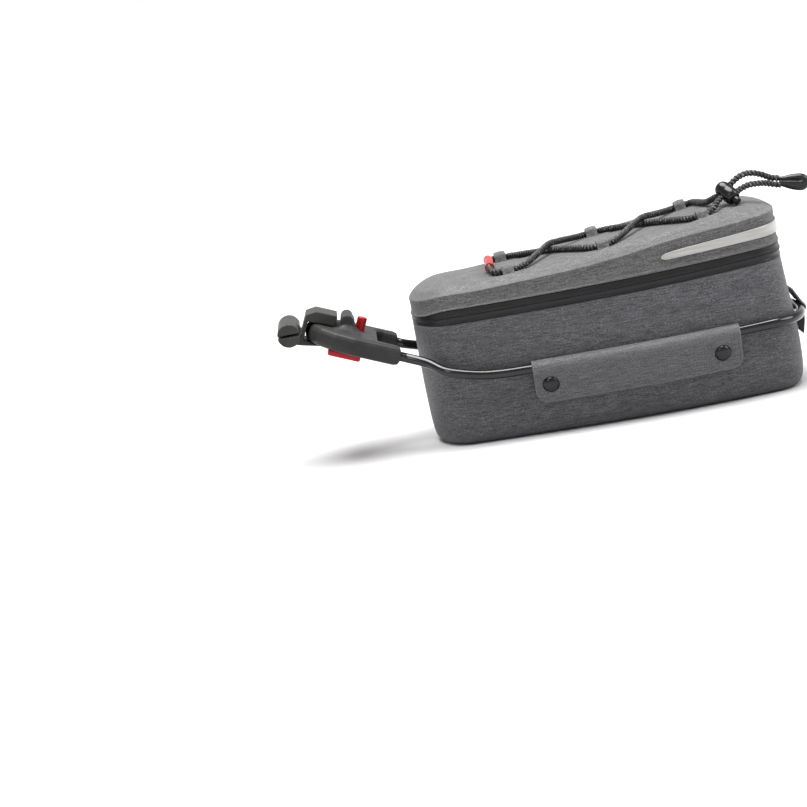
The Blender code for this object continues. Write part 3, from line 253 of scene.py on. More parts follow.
def from_grid(name, grid, around=True, stacked=False, sharp=None, **attributes):
    """A mesh over a grid of points [row, column], with a quad between each four neighbours. The last
    column meets the first where it goes around, and the last row the first where it is stacked.
    Doubles are merged, so a row shrunk to a line or a point closes the shell."""
    rows, columns = grid.shape[:2]
    index = np.arange(rows * columns).reshape(rows, columns)
    if around:
        index = np.concatenate([index, index[:, :1]], axis=1)
    if stacked:
        index = np.concatenate([index, index[:1]], axis=0)
    corners = [index[:-1, :-1], index[:-1, 1:], index[1:, 1:], index[1:, :-1]]
    quads = np.stack(corners, axis=-1).reshape(-1, 4)
    points = grid.reshape(-1, 3)
    mesh = bpy.data.meshes.new(name)
    mesh.vertices.add(len(points))
    mesh.vertices.foreach_set("co", points.astype(np.float32).ravel())
    mesh.loops.add(quads.size)
    mesh.loops.foreach_set("vertex_index", quads.astype(np.int32).ravel())
    mesh.polygons.add(len(quads))
    mesh.polygons.foreach_set("loop_start", np.arange(0, quads.size, 4, dtype=np.int32))
    mesh.update(calc_edges=True)
    for key, values in attributes.items():
        kind = "FLOAT_VECTOR" if values.ndim == 3 else "FLOAT"
        layer = mesh.attributes.new(key, kind, "POINT")
        field = "vector" if values.ndim == 3 else "value"
        layer.data.foreach_set(field, values.astype(np.float32).ravel())
    work = bmesh.new()
    work.from_mesh(mesh)
    bmesh.ops.remove_doubles(work, verts=work.verts, dist=1e-6)
    bmesh.ops.dissolve_degenerate(work, edges=work.edges, dist=1e-7)
    bmesh.ops.recalc_face_normals(work, faces=work.faces)
    work.to_mesh(mesh)
    work.free()
    mesh.shade_smooth()
    if sharp:
        mesh.set_sharp_from_angle(angle=math.radians(sharp))
    return added(name, mesh)


def settle(piece, finish, slot, *replaced, body="bag"):
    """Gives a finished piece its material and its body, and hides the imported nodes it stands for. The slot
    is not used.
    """
    piece.data.materials.clear()
    piece.data.materials.append(finish)
    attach(piece, body)
    if replaced:
        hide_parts(*replaced)
    return piece


def node(tree, kind, sockets=(), **settings):
    """A shader node with its settings and sockets filled in."""
    made = tree.nodes.new("ShaderNode" + kind)
    for key, value in settings.items():
        setattr(made, key, value)
    for key, value in dict(sockets).items():
        if isinstance(value, bpy.types.NodeSocket):
            tree.links.new(value, made.inputs[key])
        else:
            made.inputs[key].default_value = value
    return made


def carried(tree, key, output="Fac"):
    """What the mesh carries at its points under a name."""
    return node(tree, "Attribute", attribute_name=key).outputs[output]


def mixed(tree, amount, first, second):
    """Two colours mixed by an amount."""
    return node(tree, "Mix", {0: amount, 6: first, 7: second}, data_type="RGBA").outputs[2]


def ramped(tree, value, low, high):
    """A value spread so that low becomes 0 and high becomes 1."""
    return node(tree, "MapRange", {"Value": value, "From Min": low, "From Max": high}).outputs["Result"]


def worked_out(tree, operation, *values):
    """The result of an operation on one to three values."""
    return node(tree, "Math", enumerate(values), operation=operation).outputs[0]


def stretched(tree, vector, stretch):
    """A vector, multiplied along each axis."""
    return node(tree, "VectorMath", {0: vector, 1: stretch}, operation="MULTIPLY").outputs[0]


def grain(tree, vector, stretch, detail=2.0):
    """Noise whose cells are stretched by counts per metre along each axis."""
    sockets = {"Vector": stretched(tree, vector, stretch), "Scale": 1.0, "Detail": detail}
    return node(tree, "TexNoise", sockets).outputs[0]


def wired(tree, base, relief, rough=None, **even):
    """Joins to the shader a colour, a relief given as height, strength and depth, and a roughness
    given as a value with its lowest and highest, and sets the shader's even values."""
    shader = tree.nodes["Principled BSDF"]
    tree.links.new(base, shader.inputs["Base Color"])
    height, strength, depth = relief
    bump = node(tree, "Bump", {"Height": height, "Strength": strength, "Distance": depth})
    tree.links.new(bump.outputs[0], shader.inputs["Normal"])
    if rough:
        value, low, high = rough
        spread = node(tree, "MapRange", {"Value": value, "To Min": low, "To Max": high})
        tree.links.new(spread.outputs["Result"], shader.inputs["Roughness"])
    for key, value in even.items():
        shader.inputs[key.replace("_", " ")].default_value = value


def heathered(name, dark, light, flat_top=False):
    """Coated melange cloth: long pale and dark threads along the bag over a fine even grain. The
    threads follow the piece's own thread attribute, or plain X where the top attribute says so."""
    made, tree = new_finish(name)
    vector = carried(tree, "thread", "Vector")
    if flat_top:
        place = node(tree, "TexCoord").outputs["Object"]
        top = carried(tree, "top")
        vector = node(tree, "Mix", {0: top, 4: vector, 5: place}, data_type="VECTOR").outputs[1]
    long = grain(tree, vector, (110.0, 1150.0, 900.0))
    short = grain(tree, vector, (760.0, 1900.0, 1400.0), 1.0)
    cross = grain(tree, vector, (1400.0, 900.0, 1000.0), 1.0)
    broad = grain(tree, vector, (18.0, 150.0, 90.0))
    shade = (*dark, 1.0)
    pale = (*(1.8 * v for v in light), 1.0)
    # A lighter tone mixed in where the edge attribute says so: partly wear, partly a painted highlight on
    # edges, creases and the flap's bulge over the rod.
    worn_and_highlit = (*(1.5 * v for v in light), 1.0)
    base = mixed(tree, ramped(tree, long, 0.32, 0.68), shade, (*light, 1.0))
    base = mixed(tree, ramped(tree, short, 0.50, 0.72), base, mixed(tree, 0.7, base, pale))
    base = mixed(tree, ramped(tree, cross, 0.50, 0.34), base, mixed(tree, 0.55, base, shade))
    base = mixed(tree, ramped(tree, broad, 0.52, 0.36), base, mixed(tree, 0.2, base, shade))
    base = mixed(tree, worked_out(tree, "MULTIPLY", carried(tree, "edge"), 0.55), base, worn_and_highlit)
    height = worked_out(tree, "ADD", short, cross)
    relief, rough = (height, 0.35, 0.00025), (short, 0.54, 0.70)
    wired(tree, base, relief, rough, Specular_IOR_Level=0.22, Sheen_Weight=0.05)
    return made


def thread_of(grid, arc, height):
    """Distance along the outline, height, and a little of y, so that left and right differ."""
    wide = np.broadcast_to(arc, grid.shape[:2])
    return np.stack([wide, np.broadcast_to(height, grid.shape[:2]), 0.3 * grid[:, :, 1]], axis=2)


def make_body():
    """Rows of the outline: from the base's middle out to its edge, up the wall, over the rim, down
    the inside and back to the middle. Each row is the outline at its height, moved in by the wall."""
    plan, arc = outline()
    top = zip_low(plan[:, 0])
    base = (1.0, 0.97, 0.8, 0.55, 0.32, 0.22, 0.17)
    low = (0.0, 0.0004, 0.001, 0.002, 0.0035, 0.0052, 0.007, 0.0095)
    rows = [np.column_stack([drawn_in(plan, share), 0.0 * top]) for share in base]
    for height in (*low, *np.linspace(0.013, BODY_HEIGHT, 46)):
        ring = body_plan(plan, height)
        over = np.clip((height - CLIMB_FROM) / (BODY_HEIGHT - CLIMB_FROM), 0.0, 1.0)
        rows.append(np.column_stack([ring, height + over * (top - BODY_HEIGHT)]))
    rim = body_plan(plan, BODY_HEIGHT)
    for inset, drop in ((0.0004, 0.0), (WALL - 0.0004, 0.0), (WALL, 0.0004)):
        rows.append(np.column_stack([rim - outward(rim) * inset, top - drop]))
    for height in (0.07, 0.045, 0.02, 0.009, 0.004):
        ring = body_plan(plan, height)
        rows.append(np.column_stack([ring - outward(ring) * WALL, 0.0 * top + height]))
    rows += [np.column_stack([drawn_in(plan, share), 0.0 * top + WALL]) for share in (0.2, 0.6, 1.0)]
    grid = np.array(rows) + NOSE
    # The edge mask lightens the cloth just above the base's rounded edge and under the rim: partly wear,
    # partly a painted highlight.
    edge = bell(grid[:, :, 2] - 0.0035, 0.0022) * 0.35 + bell(grid[:, :, 2] - top, 0.0009) * 0.5
    girth = run_along(grid[:, AROUND // 4])
    piece = from_grid("body_shell", grid, thread=thread_of(grid, arc, girth[:, None]), edge=edge)
    cloth = heathered("body_cloth", (0.030, 0.030, 0.033), (0.094, 0.092, 0.100))
    settle(piece, cloth, "body_fabric", "bag_body")


make_body()

# The zip tape: two rubber-coated bands that meet over the hidden zip, in a ring between body and
# lid. Each band has a rolled outer edge, and the coil behind them swells their meeting line.
TAPE_HEIGHT = 0.0105
NOSE_TAPE_HEIGHT = 0.0065
TAPE_SECTION = np.array(
    [
        # share of the height, how far it stands out
        (0.000, -0.0002),
        (0.020, 0.0003),
        (0.055, 0.0005),
        (0.090, 0.0003),
        (0.120, 0.0001),
        (0.280, 0.0002),
        (0.400, 0.0006),
        (0.465, 0.0008),
        (0.490, 0.0005),
        (0.500, -0.0001),
        (0.510, 0.0005),
        (0.535, 0.0008),
        (0.600, 0.0006),
        (0.720, 0.0002),
        (0.940, 0.0001),
        (1.000, 0.0000),
        (1.000, -0.0020),
        (0.000, -0.0020),
    ]
)


def zip_high(x):
    """Height of the tape's upper edge: the tape is narrower round the nose."""
    share = np.clip(np.asarray(x, float) / END_CAP, 0.0, 1.0)
    ease = share * share * (3.0 - 2.0 * share)
    return zip_low(x) + NOSE_TAPE_HEIGHT + (TAPE_HEIGHT - NOSE_TAPE_HEIGHT) * ease


def tape_finish():
    """Black rubber film, with the coil's ribs faint under it, a greyer bloom along the sides, and painted
    shade round the nose where the tape dips round it.
    """
    made, tree = new_finish("tape_rubber")
    thread = carried(tree, "thread", "Vector")
    bloom = grain(tree, thread, (60.0, 900.0, 200.0))
    black, grey = (0.003, 0.003, 0.0035, 1.0), (0.010, 0.010, 0.011, 1.0)
    base = mixed(tree, ramped(tree, bloom, 0.3, 0.75), black, grey)
    # Darker round the nose: painted shade where the tape dips round the nose.
    base = mixed(tree, carried(tree, "nose"), base, (0.004, 0.004, 0.0045, 1.0))
    along = node(tree, "SeparateXYZ", {0: stretched(tree, thread, (4200.0, 0.0, 0.0))}).outputs[0]
    middle = worked_out(tree, "COMPARE", carried(tree, "across"), 0.5, 0.12)
    height = worked_out(tree, "MULTIPLY", worked_out(tree, "SINE", along), middle)
    wired(tree, base, (height, 0.35, 0.00012), (bloom, 0.30, 0.52), Specular_IOR_Level=0.30)
    return made


def make_tape():
    """The tape's section, carried round the outline: out along its normal, up by a share of its
    height. It lies flatter round the nose."""
    plan, arc = outline(480)
    normal = outward(plan)
    low = zip_low(plan[:, 0]) + 0.0003
    high = zip_high(plan[:, 0]) - 0.0003
    share, out = TAPE_SECTION[:, 0, None], TAPE_SECTION[:, 1, None]
    nose = np.exp(-((plan[:, 0] / 0.020) ** 4))
    proud = np.where(out > -0.001, out * (1.0 - 0.75 * nose), out)
    flat = plan[None] + normal[None] * proud[:, :, None]
    height = low + (high - low) * share
    grid = np.concatenate([flat, height[:, :, None]], axis=2) + NOSE
    across = np.broadcast_to(share, height.shape)
    nose = np.broadcast_to(nose, height.shape)
    thread = thread_of(grid, arc, height)
    piece = from_grid("tape_ring", grid, stacked=True, thread=thread, across=across, nose=nose)
    settle(piece, tape_finish(), "zip_tape", "zip_tape")


make_tape()

# The lid: the same cloth over foam, moulded to a side wall, a soft rolled edge and a crowned
# top. The top is puckered where the cord pulls on its loops. Its rim hides the tape's upper edge.
LID_SIDE = 0.0235
LID_CROWN = 0.0133
LID_STATIONS = np.array(
    [
        # along the bag, share of LID_SIDE, share of LID_CROWN, hollow as a share of LID_CROWN
        (0.00, 0.50, 0.83, 0.00),
        (0.10, 0.46, 0.75, 0.01),
        (0.30, 0.52, 0.78, 0.32),
        (0.45, 0.59, 1.00, 0.41),
        (0.58, 0.72, 1.03, 0.49),
        (0.70, 0.87, 0.95, 0.50),
        (0.80, 0.92, 1.00, 0.38),
        (0.87, 0.94, 1.00, 0.10),
        (0.93, 0.97, 0.85, 0.00),
        (1.00, 1.00, 0.50, 0.00),
    ]
)
CROWN_PROFILE = np.array(
    [
        # drawn in, rise of the crown, share of the hollow
        (0.00, 0.00, 0.00),
        (0.03, 0.20, 0.00),
        (0.08, 0.42, 0.00),
        (0.17, 0.58, 0.13),
        (0.24, 0.66, 0.40),
        (0.32, 0.73, 0.64),
        (0.41, 0.81, 0.78),
        (0.52, 0.88, 0.88),
        (0.75, 0.97, 0.98),
        (0.92, 1.00, 1.00),
    ]
)
FOLD_DEEP = 0.0019
FOLD_WIDE = 0.0020
FOLDS = [
    # points from the nose and across; each fold is lowest on its left
    [(0.066, -0.051), (0.078, -0.050), (0.090, -0.043), (0.099, -0.030)],
    [(0.101, -0.030), (0.120, -0.043), (0.137, -0.048), (0.146, -0.053)],
    [(0.144, -0.053), (0.153, -0.047), (0.163, -0.040), (0.178, -0.043), (0.198, -0.050)],
    [(0.205, -0.055), (0.215, -0.056), (0.227, -0.053), (0.241, -0.049)],
    [(0.224, -0.044), (0.233, -0.0425), (0.243, -0.041)],
    [(0.246, -0.041), (0.236, -0.046), (0.221, -0.053)],
    [(0.067, -0.020), (0.078, -0.024), (0.090, -0.022)],
    [(0.080, 0.036), (0.094, 0.030), (0.108, 0.020)],
    [(0.150, 0.036), (0.166, 0.030), (0.182, 0.020)],
    [(0.206, 0.038), (0.194, 0.040), (0.180, 0.046)],
]


def crease(x):
    """Height of the lid's rolled edge: the tape's upper edge plus the side wall there."""
    share = np.asarray(x, float) / LENGTH
    return zip_high(x) + LID_SIDE * smooth(LID_STATIONS, 1, share)


def lid_rise(x, share):
    """Rise above the rolled edge where a share is drawn in: the crown, less the hollow that the
    tight cord presses into the lid's middle."""
    along = np.asarray(x, float) / LENGTH
    rise = smooth(CROWN_PROFILE, 1, share)
    sink = smooth(CROWN_PROFILE, 2, share)
    crown = smooth(LID_STATIONS, 2, along) * rise
    hollow = smooth(LID_STATIONS, 3, along) * sink
    return LID_CROWN * (crown - hollow)


def lid_height(x, y):
    """Height of the lid's outer face over points of the plan: the share drawn in is found by halving,
    then the rise at that share is added to the rolled edge."""
    x, y = np.asarray(x, float), np.asarray(y, float)
    low, high = np.zeros_like(x), np.ones_like(x)
    for _ in range(36):
        share = (low + high) / 2.0
        foot = LENGTH / 2.0 + (x - LENGTH / 2.0) / (1.0 - (1.0 - SPINE_SHARE) * share)
        inside = half_width(foot) * (1.0 - share) > np.abs(y)
        low, high = np.where(inside, share, low), np.where(inside, high, share)
    return crease(x) + lid_rise(x, low)


def folds_at(x, y):
    """Height that the folds add at points of the plan: across each fold a dip and a rise, the slope
    of a bell curve, which fades towards both of the fold's ends."""
    total = np.zeros_like(x)
    for fold in FOLDS:
        fold = np.array(fold)
        step = np.diff(fold, axis=0)
        length = np.linalg.norm(step, axis=1)
        start = run_along(fold)
        best, aside, along = np.full_like(x, 1.0), np.zeros_like(x), np.zeros_like(x)
        for p, d, l, s in zip(fold[:-1], step, length, start):
            t = np.clip(((x - p[0]) * d[0] + (y - p[1]) * d[1]) / l**2, 0.0, 1.0)
            off = np.hypot(x - p[0] - t * d[0], y - p[1] - t * d[1])
            side = np.sign((y - p[1]) * d[0] - (x - p[0]) * d[1])
            near = off < best
            best = np.where(near, off, best)
            aside = np.where(near, off * side, aside)
            along = np.where(near, s + t * l, along)
        fade = np.sin(np.pi * np.clip(along / start[-1], 0.0, 1.0)) ** 0.6
        total += FOLD_DEEP * fade * (aside / FOLD_WIDE) * bell(aside, FOLD_WIDE)
    return total


def make_lid():
    """Rows of the outline: up the side wall from the rim, over the rolled edge and in to the spine
    along the crown, then back under it and down the inside."""
    plan, arc = outline()
    low, edge_height = zip_high(plan[:, 0]), crease(plan[:, 0])
    walls = [(-0.0012, 0.0), (0.0002, 0.0), (0.0005, 0.015), (0.0006, 0.045), (0.0004, 0.075), (0.0001, 0.10)]
    walls += [(-0.0004 * math.sin(math.pi * share), share) for share in np.linspace(0.13, 0.98, 18)]
    rows, top = [], [0.0] * len(walls)
    for out, share in walls:
        rows.append(np.column_stack([plan + outward(plan) * out, low + (edge_height - low) * share]))
    for share in np.linspace(0.0, 1.0, 90) ** 1.55:
        ring = drawn_in(plan, share)
        rise = lid_rise(ring[:, 0], share)
        folds = folds_at(ring[:, 0], ring[:, 1]) * min(1.0, share / 0.05)
        rows.append(np.column_stack([ring, crease(ring[:, 0]) + rise + folds]))
        top.append(1.0 if share > 0.012 else 0.0)
    for share in (1.0, 0.8, 0.5, 0.25, 0.1, 0.0):
        ring = drawn_in(plan, share)
        rise = lid_rise(ring[:, 0], share)
        inner = ring - outward(plan) * WALL * (1.0 - share)
        rows.append(np.column_stack([inner, crease(ring[:, 0]) + rise - WALL]))
        top.append(1.0)
    inner = plan - outward(plan) * WALL
    rows.append(np.column_stack([inner, (low + edge_height) / 2.0]))
    rows.append(np.column_stack([inner, low]))
    top += [0.0, 0.0]
    grid = np.array(rows) + NOSE
    height = grid[:, :, 2] - low
    # The edge mask lightens the cloth just above the rolled edge and along the foot of the side wall: partly
    # wear, partly a painted highlight.
    edge = bell(grid[:, :, 2] - edge_height - 0.0012, 0.0016) * 0.5 + bell(height, 0.0012) * 0.4
    flag = np.broadcast_to(np.array(top)[:, None], height.shape)
    piece = from_grid("lid_shell", grid, thread=thread_of(grid, arc, height + 0.11), top=flag, edge=edge)
    # The lid's cloth is the body's cloth made lighter: painted light for the lid's brightly lit top.
    cloth = heathered("lid_cloth_painted_lighter", (0.044, 0.044, 0.045), (0.110, 0.110, 0.112), flat_top=True)
    settle(piece, cloth, "lid_fabric", "bag_lid")
    return cloth


lid_cloth_painted_lighter = make_lid()

# The reflective strip: a silver film pressed on the lid's side wall round its tail, with one
# rounded tip on each side. Its face is a fine honeycomb of beads under clear film.
STRIP_START = 0.180
STRIP_TIP = 0.006
STRIP_FROM_ZIP = 0.0073
STRIP_FROM_CREASE = 0.0078
STRIP_THICK = 0.0006
STRIP_STAND_OFF = 0.0003


def strip_finish():
    """Silver film: long smears of light and shade over a fine honeycomb, with a greyer rim."""
    made, tree = new_finish("silver_film")
    thread = carried(tree, "thread", "Vector")
    beads = {"Vector": stretched(tree, thread, (900.0, 900.0, 900.0)), "Scale": 1.0}
    cells = node(tree, "TexVoronoi", beads, feature="DISTANCE_TO_EDGE").outputs[0]
    smear = grain(tree, thread, (30.0, 500.0, 100.0))
    grey, silver = (0.29, 0.284, 0.270, 1.0), (0.37, 0.362, 0.345, 1.0)
    base = mixed(tree, ramped(tree, smear, 0.3, 0.7), grey, silver)
    base = mixed(tree, carried(tree, "edge"), base, (0.30, 0.30, 0.29, 1.0))
    gloss = {"Roughness": 0.38, "Coat_Weight": 0.35, "Coat_Roughness": 0.2}
    wired(tree, base, (cells, 0.25, 0.0001), Metallic=0.25, **gloss)
    return made


def make_strip():
    """Columns round the tail from tip to tip, rows up the strip's face and down its back. The half
    height at the tip is that of a half circle."""
    plan, arc = outline(640)
    keep = plan[:, 0] > STRIP_START
    order = np.argsort(np.where(plan[:, 1] < 0, plan[:, 0], 2 * LENGTH - plan[:, 0])[keep])
    normal = outward(plan)[keep][order]
    arc = arc[keep][order]
    plan = plan[keep][order]
    tip = np.clip((plan[:, 0] - STRIP_START) / STRIP_TIP, 0.0, 1.0)
    ease = np.sqrt(1.0 - (1.0 - tip) ** 2)
    low = zip_high(plan[:, 0]) + STRIP_FROM_ZIP
    high = crease(plan[:, 0]) - STRIP_FROM_CREASE
    middle, half = (low + high) / 2.0, (high - low) / 2.0 * ease
    share = np.array([-1.0, -0.985, -0.95, -0.8, -0.4, 0.0, 0.4, 0.8, 0.95, 0.985, 1.0, 1.0, 0.0, -1.0])
    out = np.array([0.0, 0.6, 0.95, 1.0, 1.0, 1.0, 1.0, 1.0, 0.95, 0.6, 0.0, -0.5, -0.5, -0.5]) * STRIP_THICK
    out = out + STRIP_STAND_OFF
    flat = plan[None] + normal[None] * out[:, None, None]
    height = middle + half * share[:, None]
    grid = np.concatenate([flat, height[:, :, None]], axis=2) + NOSE
    ends = np.repeat(grid.mean(axis=0)[None], len(share), axis=0)
    grid = np.concatenate([ends[:, :1], grid, ends[:, -1:]], axis=1)
    wide = np.concatenate([arc[:1], arc, arc[-1:]])
    edge = np.broadcast_to((np.abs(share) > 0.9)[:, None] * 1.0, grid.shape[:2])
    thread = thread_of(grid, wide, grid[:, :, 2])
    piece = from_grid("strip_film", grid, around=False, stacked=True, thread=thread, edge=edge)
    settle(piece, strip_finish(), "reflector", "reflective_strip")


make_strip()

# The carrier rod: a steel bar 7 mm thick, bent in one piece and coated gloss black. It leaves
# one socket of the head, runs along the left wall, round the tail and back along the right.
ROD_RADIUS = 0.0035
ROD_HEIGHT = 0.0492
ROD_RISE = 0.0022
ROD_STAND_OFF = 0.0009
ROD_HALF_SPACING = 0.039
ROD_END_HEIGHT = 0.0715
ROD_LEAD_CLEAR = 0.012
ROD_MEETS_BAG = 0.257
SOCKET_END = -0.014
SOCKET_DEPTH = 0.018
HEAD_PITCH = math.radians(23.0)
ROD_LEAD = np.array(
    [
        # along the bag, share of ROD_LEAD_CLEAR, share of the fall still to come
        (0.0184, 1.000, 0.660),
        (0.0588, 0.350, 0.380),
        (0.1066, 0.233, 0.200),
        (0.1581, 0.150, 0.070),
        (0.2132, 0.083, 0.015),
    ]
)


def rod_height(x):
    """The rod climbs a little from nose to tail."""
    return ROD_HEIGHT + ROD_RISE * np.clip(np.asarray(x, float) / LENGTH, 0.0, 1.0)


def curve_through(points, spacing):
    """A smooth curve through points, each stretch a cubic of its four nearest points, at equal steps."""
    points = np.asarray(points, float)
    ends = np.vstack([2 * points[0] - points[1], points, 2 * points[-1] - points[-2]])
    t = np.linspace(0.0, 1.0, 30, endpoint=False)[None, :, None]
    p0, p1, p2, p3 = (ends[k : len(ends) - 3 + k][:, None, :] for k in range(4))
    square, cube = 2 * p0 - 5 * p1 + 4 * p2 - p3, 3 * p1 - p0 - 3 * p2 + p3
    fine = 0.5 * (2 * p1 + (p2 - p0) * t + square * t**2 + cube * t**3)
    fine = np.vstack([fine.reshape(-1, points.shape[1]), points[-1:]])
    run = run_along(fine)
    marks = np.linspace(0.0, run[-1], max(2, int(round(run[-1] / spacing))) + 1)
    return read_along(marks, run, fine), marks


def capped(grid, first, last):
    """Rings closed by one more row at each end, all of it in one place."""
    ends = [np.broadcast_to(end, grid.shape[1:])[None] for end in (first, last)]
    return np.concatenate([ends[0], grid, ends[1]])


def tube_grid(line, radius, turns):
    """Rings round a line: its sideways and upward directions times the cosine and sine of each turn.
    The first and last rows shrink to the line's ends, which closes the tube."""
    along = np.gradient(line, axis=0)
    along /= np.linalg.norm(along, axis=1, keepdims=True)
    side = np.cross(along, (0.0, 0.0, 1.0))
    side /= np.linalg.norm(side, axis=1, keepdims=True)
    over = np.cross(side, along)
    radius = np.broadcast_to(radius, (len(line), len(turns)))[:, :, None]
    ring = line[:, None] + radius * (
        np.cos(turns)[None, :, None] * side[:, None] + np.sin(turns)[None, :, None] * over[:, None]
    )
    return capped(ring, line[0], line[-1])


def gloss_finish(name, colour, roughness, specular, ripple):
    """A smooth coating with a faint orange peel and a little dust in its roughness."""
    made, tree = new_finish(name)
    place = node(tree, "TexCoord").outputs["Object"]
    peel = grain(tree, place, (700.0, 700.0, 700.0))
    dust = grain(tree, place, (160.0, 160.0, 160.0), 4.0)
    dusty = (*(v * 1.5 + 0.002 for v in colour), 1.0)
    base = mixed(tree, ramped(tree, dust, 0.35, 0.8), (*colour, 1.0), dusty)
    rough = (dust, roughness * 0.8, roughness * 1.3)
    wired(tree, base, (peel, ripple, 0.0002), rough, Specular_IOR_Level=specular)
    return made


def rod_line():
    """Half of the rod: out of its socket, down and in by the lead's table, then along the body's
    wall at the rod's height, one radius and a small stand-off away."""
    lead = np.array([math.cos(HEAD_PITCH), 0.0, -math.sin(HEAD_PITCH)])
    mouth = np.array([SOCKET_END, -ROD_HALF_SPACING, ROD_END_HEIGHT])
    points = [mouth - lead * (SOCKET_DEPTH - ROD_RADIUS * 0.57), mouth, mouth + lead * ROD_RADIUS * 1.7]
    x = ROD_LEAD[:, 0] * LENGTH
    y = -(half_width(x) + ROD_RADIUS + ROD_STAND_OFF + ROD_LEAD_CLEAR * ROD_LEAD[:, 1])
    z = rod_height(x) + (ROD_END_HEIGHT - ROD_HEIGHT) * ROD_LEAD[:, 2]
    steps = 40
    ring = body_plan(both_sides(left_side(steps)), ROD_HEIGHT)
    wall = (ring + outward(ring) * (ROD_RADIUS + ROD_STAND_OFF))[: steps + 1]
    wall = wall[ring[: steps + 1, 0] > ROD_MEETS_BAG * LENGTH]
    wall = np.column_stack([wall, rod_height(wall[:, 0])])
    return np.vstack([points, np.column_stack([x, y, z]), wall])


def make_rod():
    """Rings round the half line and its mirror image, which meet behind the tail."""
    half, _ = curve_through(rod_line(), 0.0015)
    line = np.concatenate([half, half[-2::-1] * (1.0, -1.0, 1.0)]) + NOSE
    turns = np.linspace(0.0, 2 * np.pi, 28, endpoint=False)
    piece = from_grid("rod_bar", tube_grid(line, ROD_RADIUS, turns), sharp=60.0)
    coating = gloss_finish("rod_coating", (0.004, 0.004, 0.0045), 0.15, 0.45, 0.03)
    settle(piece, coating, "rod", "carrier_rod")


make_rod()

# The side flaps: a panel of the body's cloth on each side, welded to the wall above the rod,
# folded over it and pressed flat below, where two snaps hold it. Its cut edge is sealed.
FLAP_START = 0.077
FLAP_END = 0.2275
FLAP_DROP = 0.0265
FLAP_THICK = 0.0012
FLAP_CORNER = 0.009
FLAP_BELLY = 0.0034
FLAP_HEM = 0.0022
ROD_CLEARANCE = 0.0005


def flap_line():
    """The flap's inner line across the bag: out from the wall and up from the rod's height. It leaves
    the wall, rounds the rod at one clearance and hangs down to the hem."""
    clear = ROD_RADIUS + ROD_CLEARANCE
    out = ROD_RADIUS + ROD_STAND_OFF
    turn = np.radians(np.linspace(84.0, -24.0, 13))
    arc = np.column_stack([out + clear * np.cos(turn), clear * np.sin(turn)])
    start = [(FLAP_THICK, clear - FLAP_THICK / 2.0), (out * 0.5, clear + 0.0001)]
    end = [
        (out + 0.0012, -FLAP_DROP * 0.36),
        (FLAP_BELLY + 0.0006, -FLAP_DROP * 0.58),
        (FLAP_BELLY, -FLAP_DROP * 0.74),
        (FLAP_HEM, -FLAP_DROP),
    ]
    return curve_through(np.vstack([start, arc, end]), 0.0006)


def normals_of(line):
    """Unit normals of a flat line: its slope, turned a quarter turn to the left."""
    slope = np.gradient(line, axis=0)
    normal = np.column_stack([-slope[:, 1], slope[:, 0]])
    return normal / np.linalg.norm(normal, axis=1, keepdims=True)


def rolled(from_edge, radius):
    """The share of the cloth's thickness near a cut edge, which is rounded as a quarter circle."""
    near = 1.0 - np.clip(from_edge / radius, 0.0, 1.0)
    return np.sqrt(np.clip(1.0 - near**2, 0.0, 1.0))


def folded(line, run, at, thick):
    """A section of cloth: back along the line, then along it again, one thickness out."""
    inner = read_along(at, run, line)
    outer = inner + read_along(at, run, normals_of(line)) * thick[:, :, None]
    return np.concatenate([inner[::-1], outer])


def make_flap(name, side, cloth):
    """Columns along the bag, rows down the outer face and back up the inner one. At each column the
    line is cut shorter by the corner's circle, and a pressed weld runs inside the edge."""
    line, run = flap_line()
    full = run[-1]
    corner = FLAP_CORNER * (1.0 - np.cos(np.linspace(0.0, np.pi / 2, 14)))
    middle = np.linspace(FLAP_START + 0.011, FLAP_END - 0.011, 110)
    x = np.concatenate([FLAP_START + corner, middle, (FLAP_END - corner)[::-1]])
    near_end = np.minimum(x - FLAP_START, FLAP_END - x)
    share = np.clip(1.0 - near_end / FLAP_CORNER, 0.0, 1.0)
    length = full - FLAP_CORNER * (1.0 - np.sqrt(1.0 - share**2))
    hem = 0.93 + 0.07 * np.sin(np.linspace(0.1, np.pi / 2, 8))
    at = length[None] * np.concatenate([np.linspace(0.0, 0.93, 44), hem])[:, None]
    from_edge = np.minimum(near_end[None], length[None] - at)
    weld = 0.00028 * bell(from_edge - 0.0026, 0.0007)
    thick = FLAP_THICK * rolled(from_edge, 0.0007) - weld * (from_edge > 0.0008)
    section = folded(line, run, at, thick)
    wall_x, wall_y = rod_wall()
    wide = np.broadcast_to(x, section.shape[:2])
    wall = np.interp(x, wall_x, wall_y)
    grid = np.stack([wide, side * (wall + section[:, :, 0]), rod_height(x) + section[:, :, 1]], axis=2) + NOSE
    reach = np.concatenate([at[::-1], at])
    # The edge mask lightens the sealed edges, partly as wear, and paints a highlight along the flap's bulge
    # over the rod.
    edge = np.concatenate([0 * weld, bell(from_edge, 0.0009) * 0.7 + 0.3 * bell(at - 0.0095, 0.003)])
    thread = np.stack([grid[:, :, 0] + 0.2 * (side > 0), reach + 0.3, 0.0 * reach], axis=2)
    piece = from_grid(name, grid, around=False, stacked=True, thread=thread, edge=edge)
    settle(piece, cloth, "body_fabric", name.replace("_panel", ""))


def rod_wall():
    """The body's half width at the rod's height, along the bag."""
    ring = body_plan(outline(400)[0], ROD_HEIGHT)[:201]
    return ring[:, 0], -ring[:, 1]


# The flaps and the rear tab use the body's cloth made lighter: painted light for panels that face out and up
# into the light.
flap_cloth = heathered("flap_cloth", (0.042, 0.042, 0.045), (0.110, 0.109, 0.115))
for side_name, side_sign in (("left", -1), ("right", 1)):
    make_flap("flap_" + side_name + "_panel", side_sign, flap_cloth)

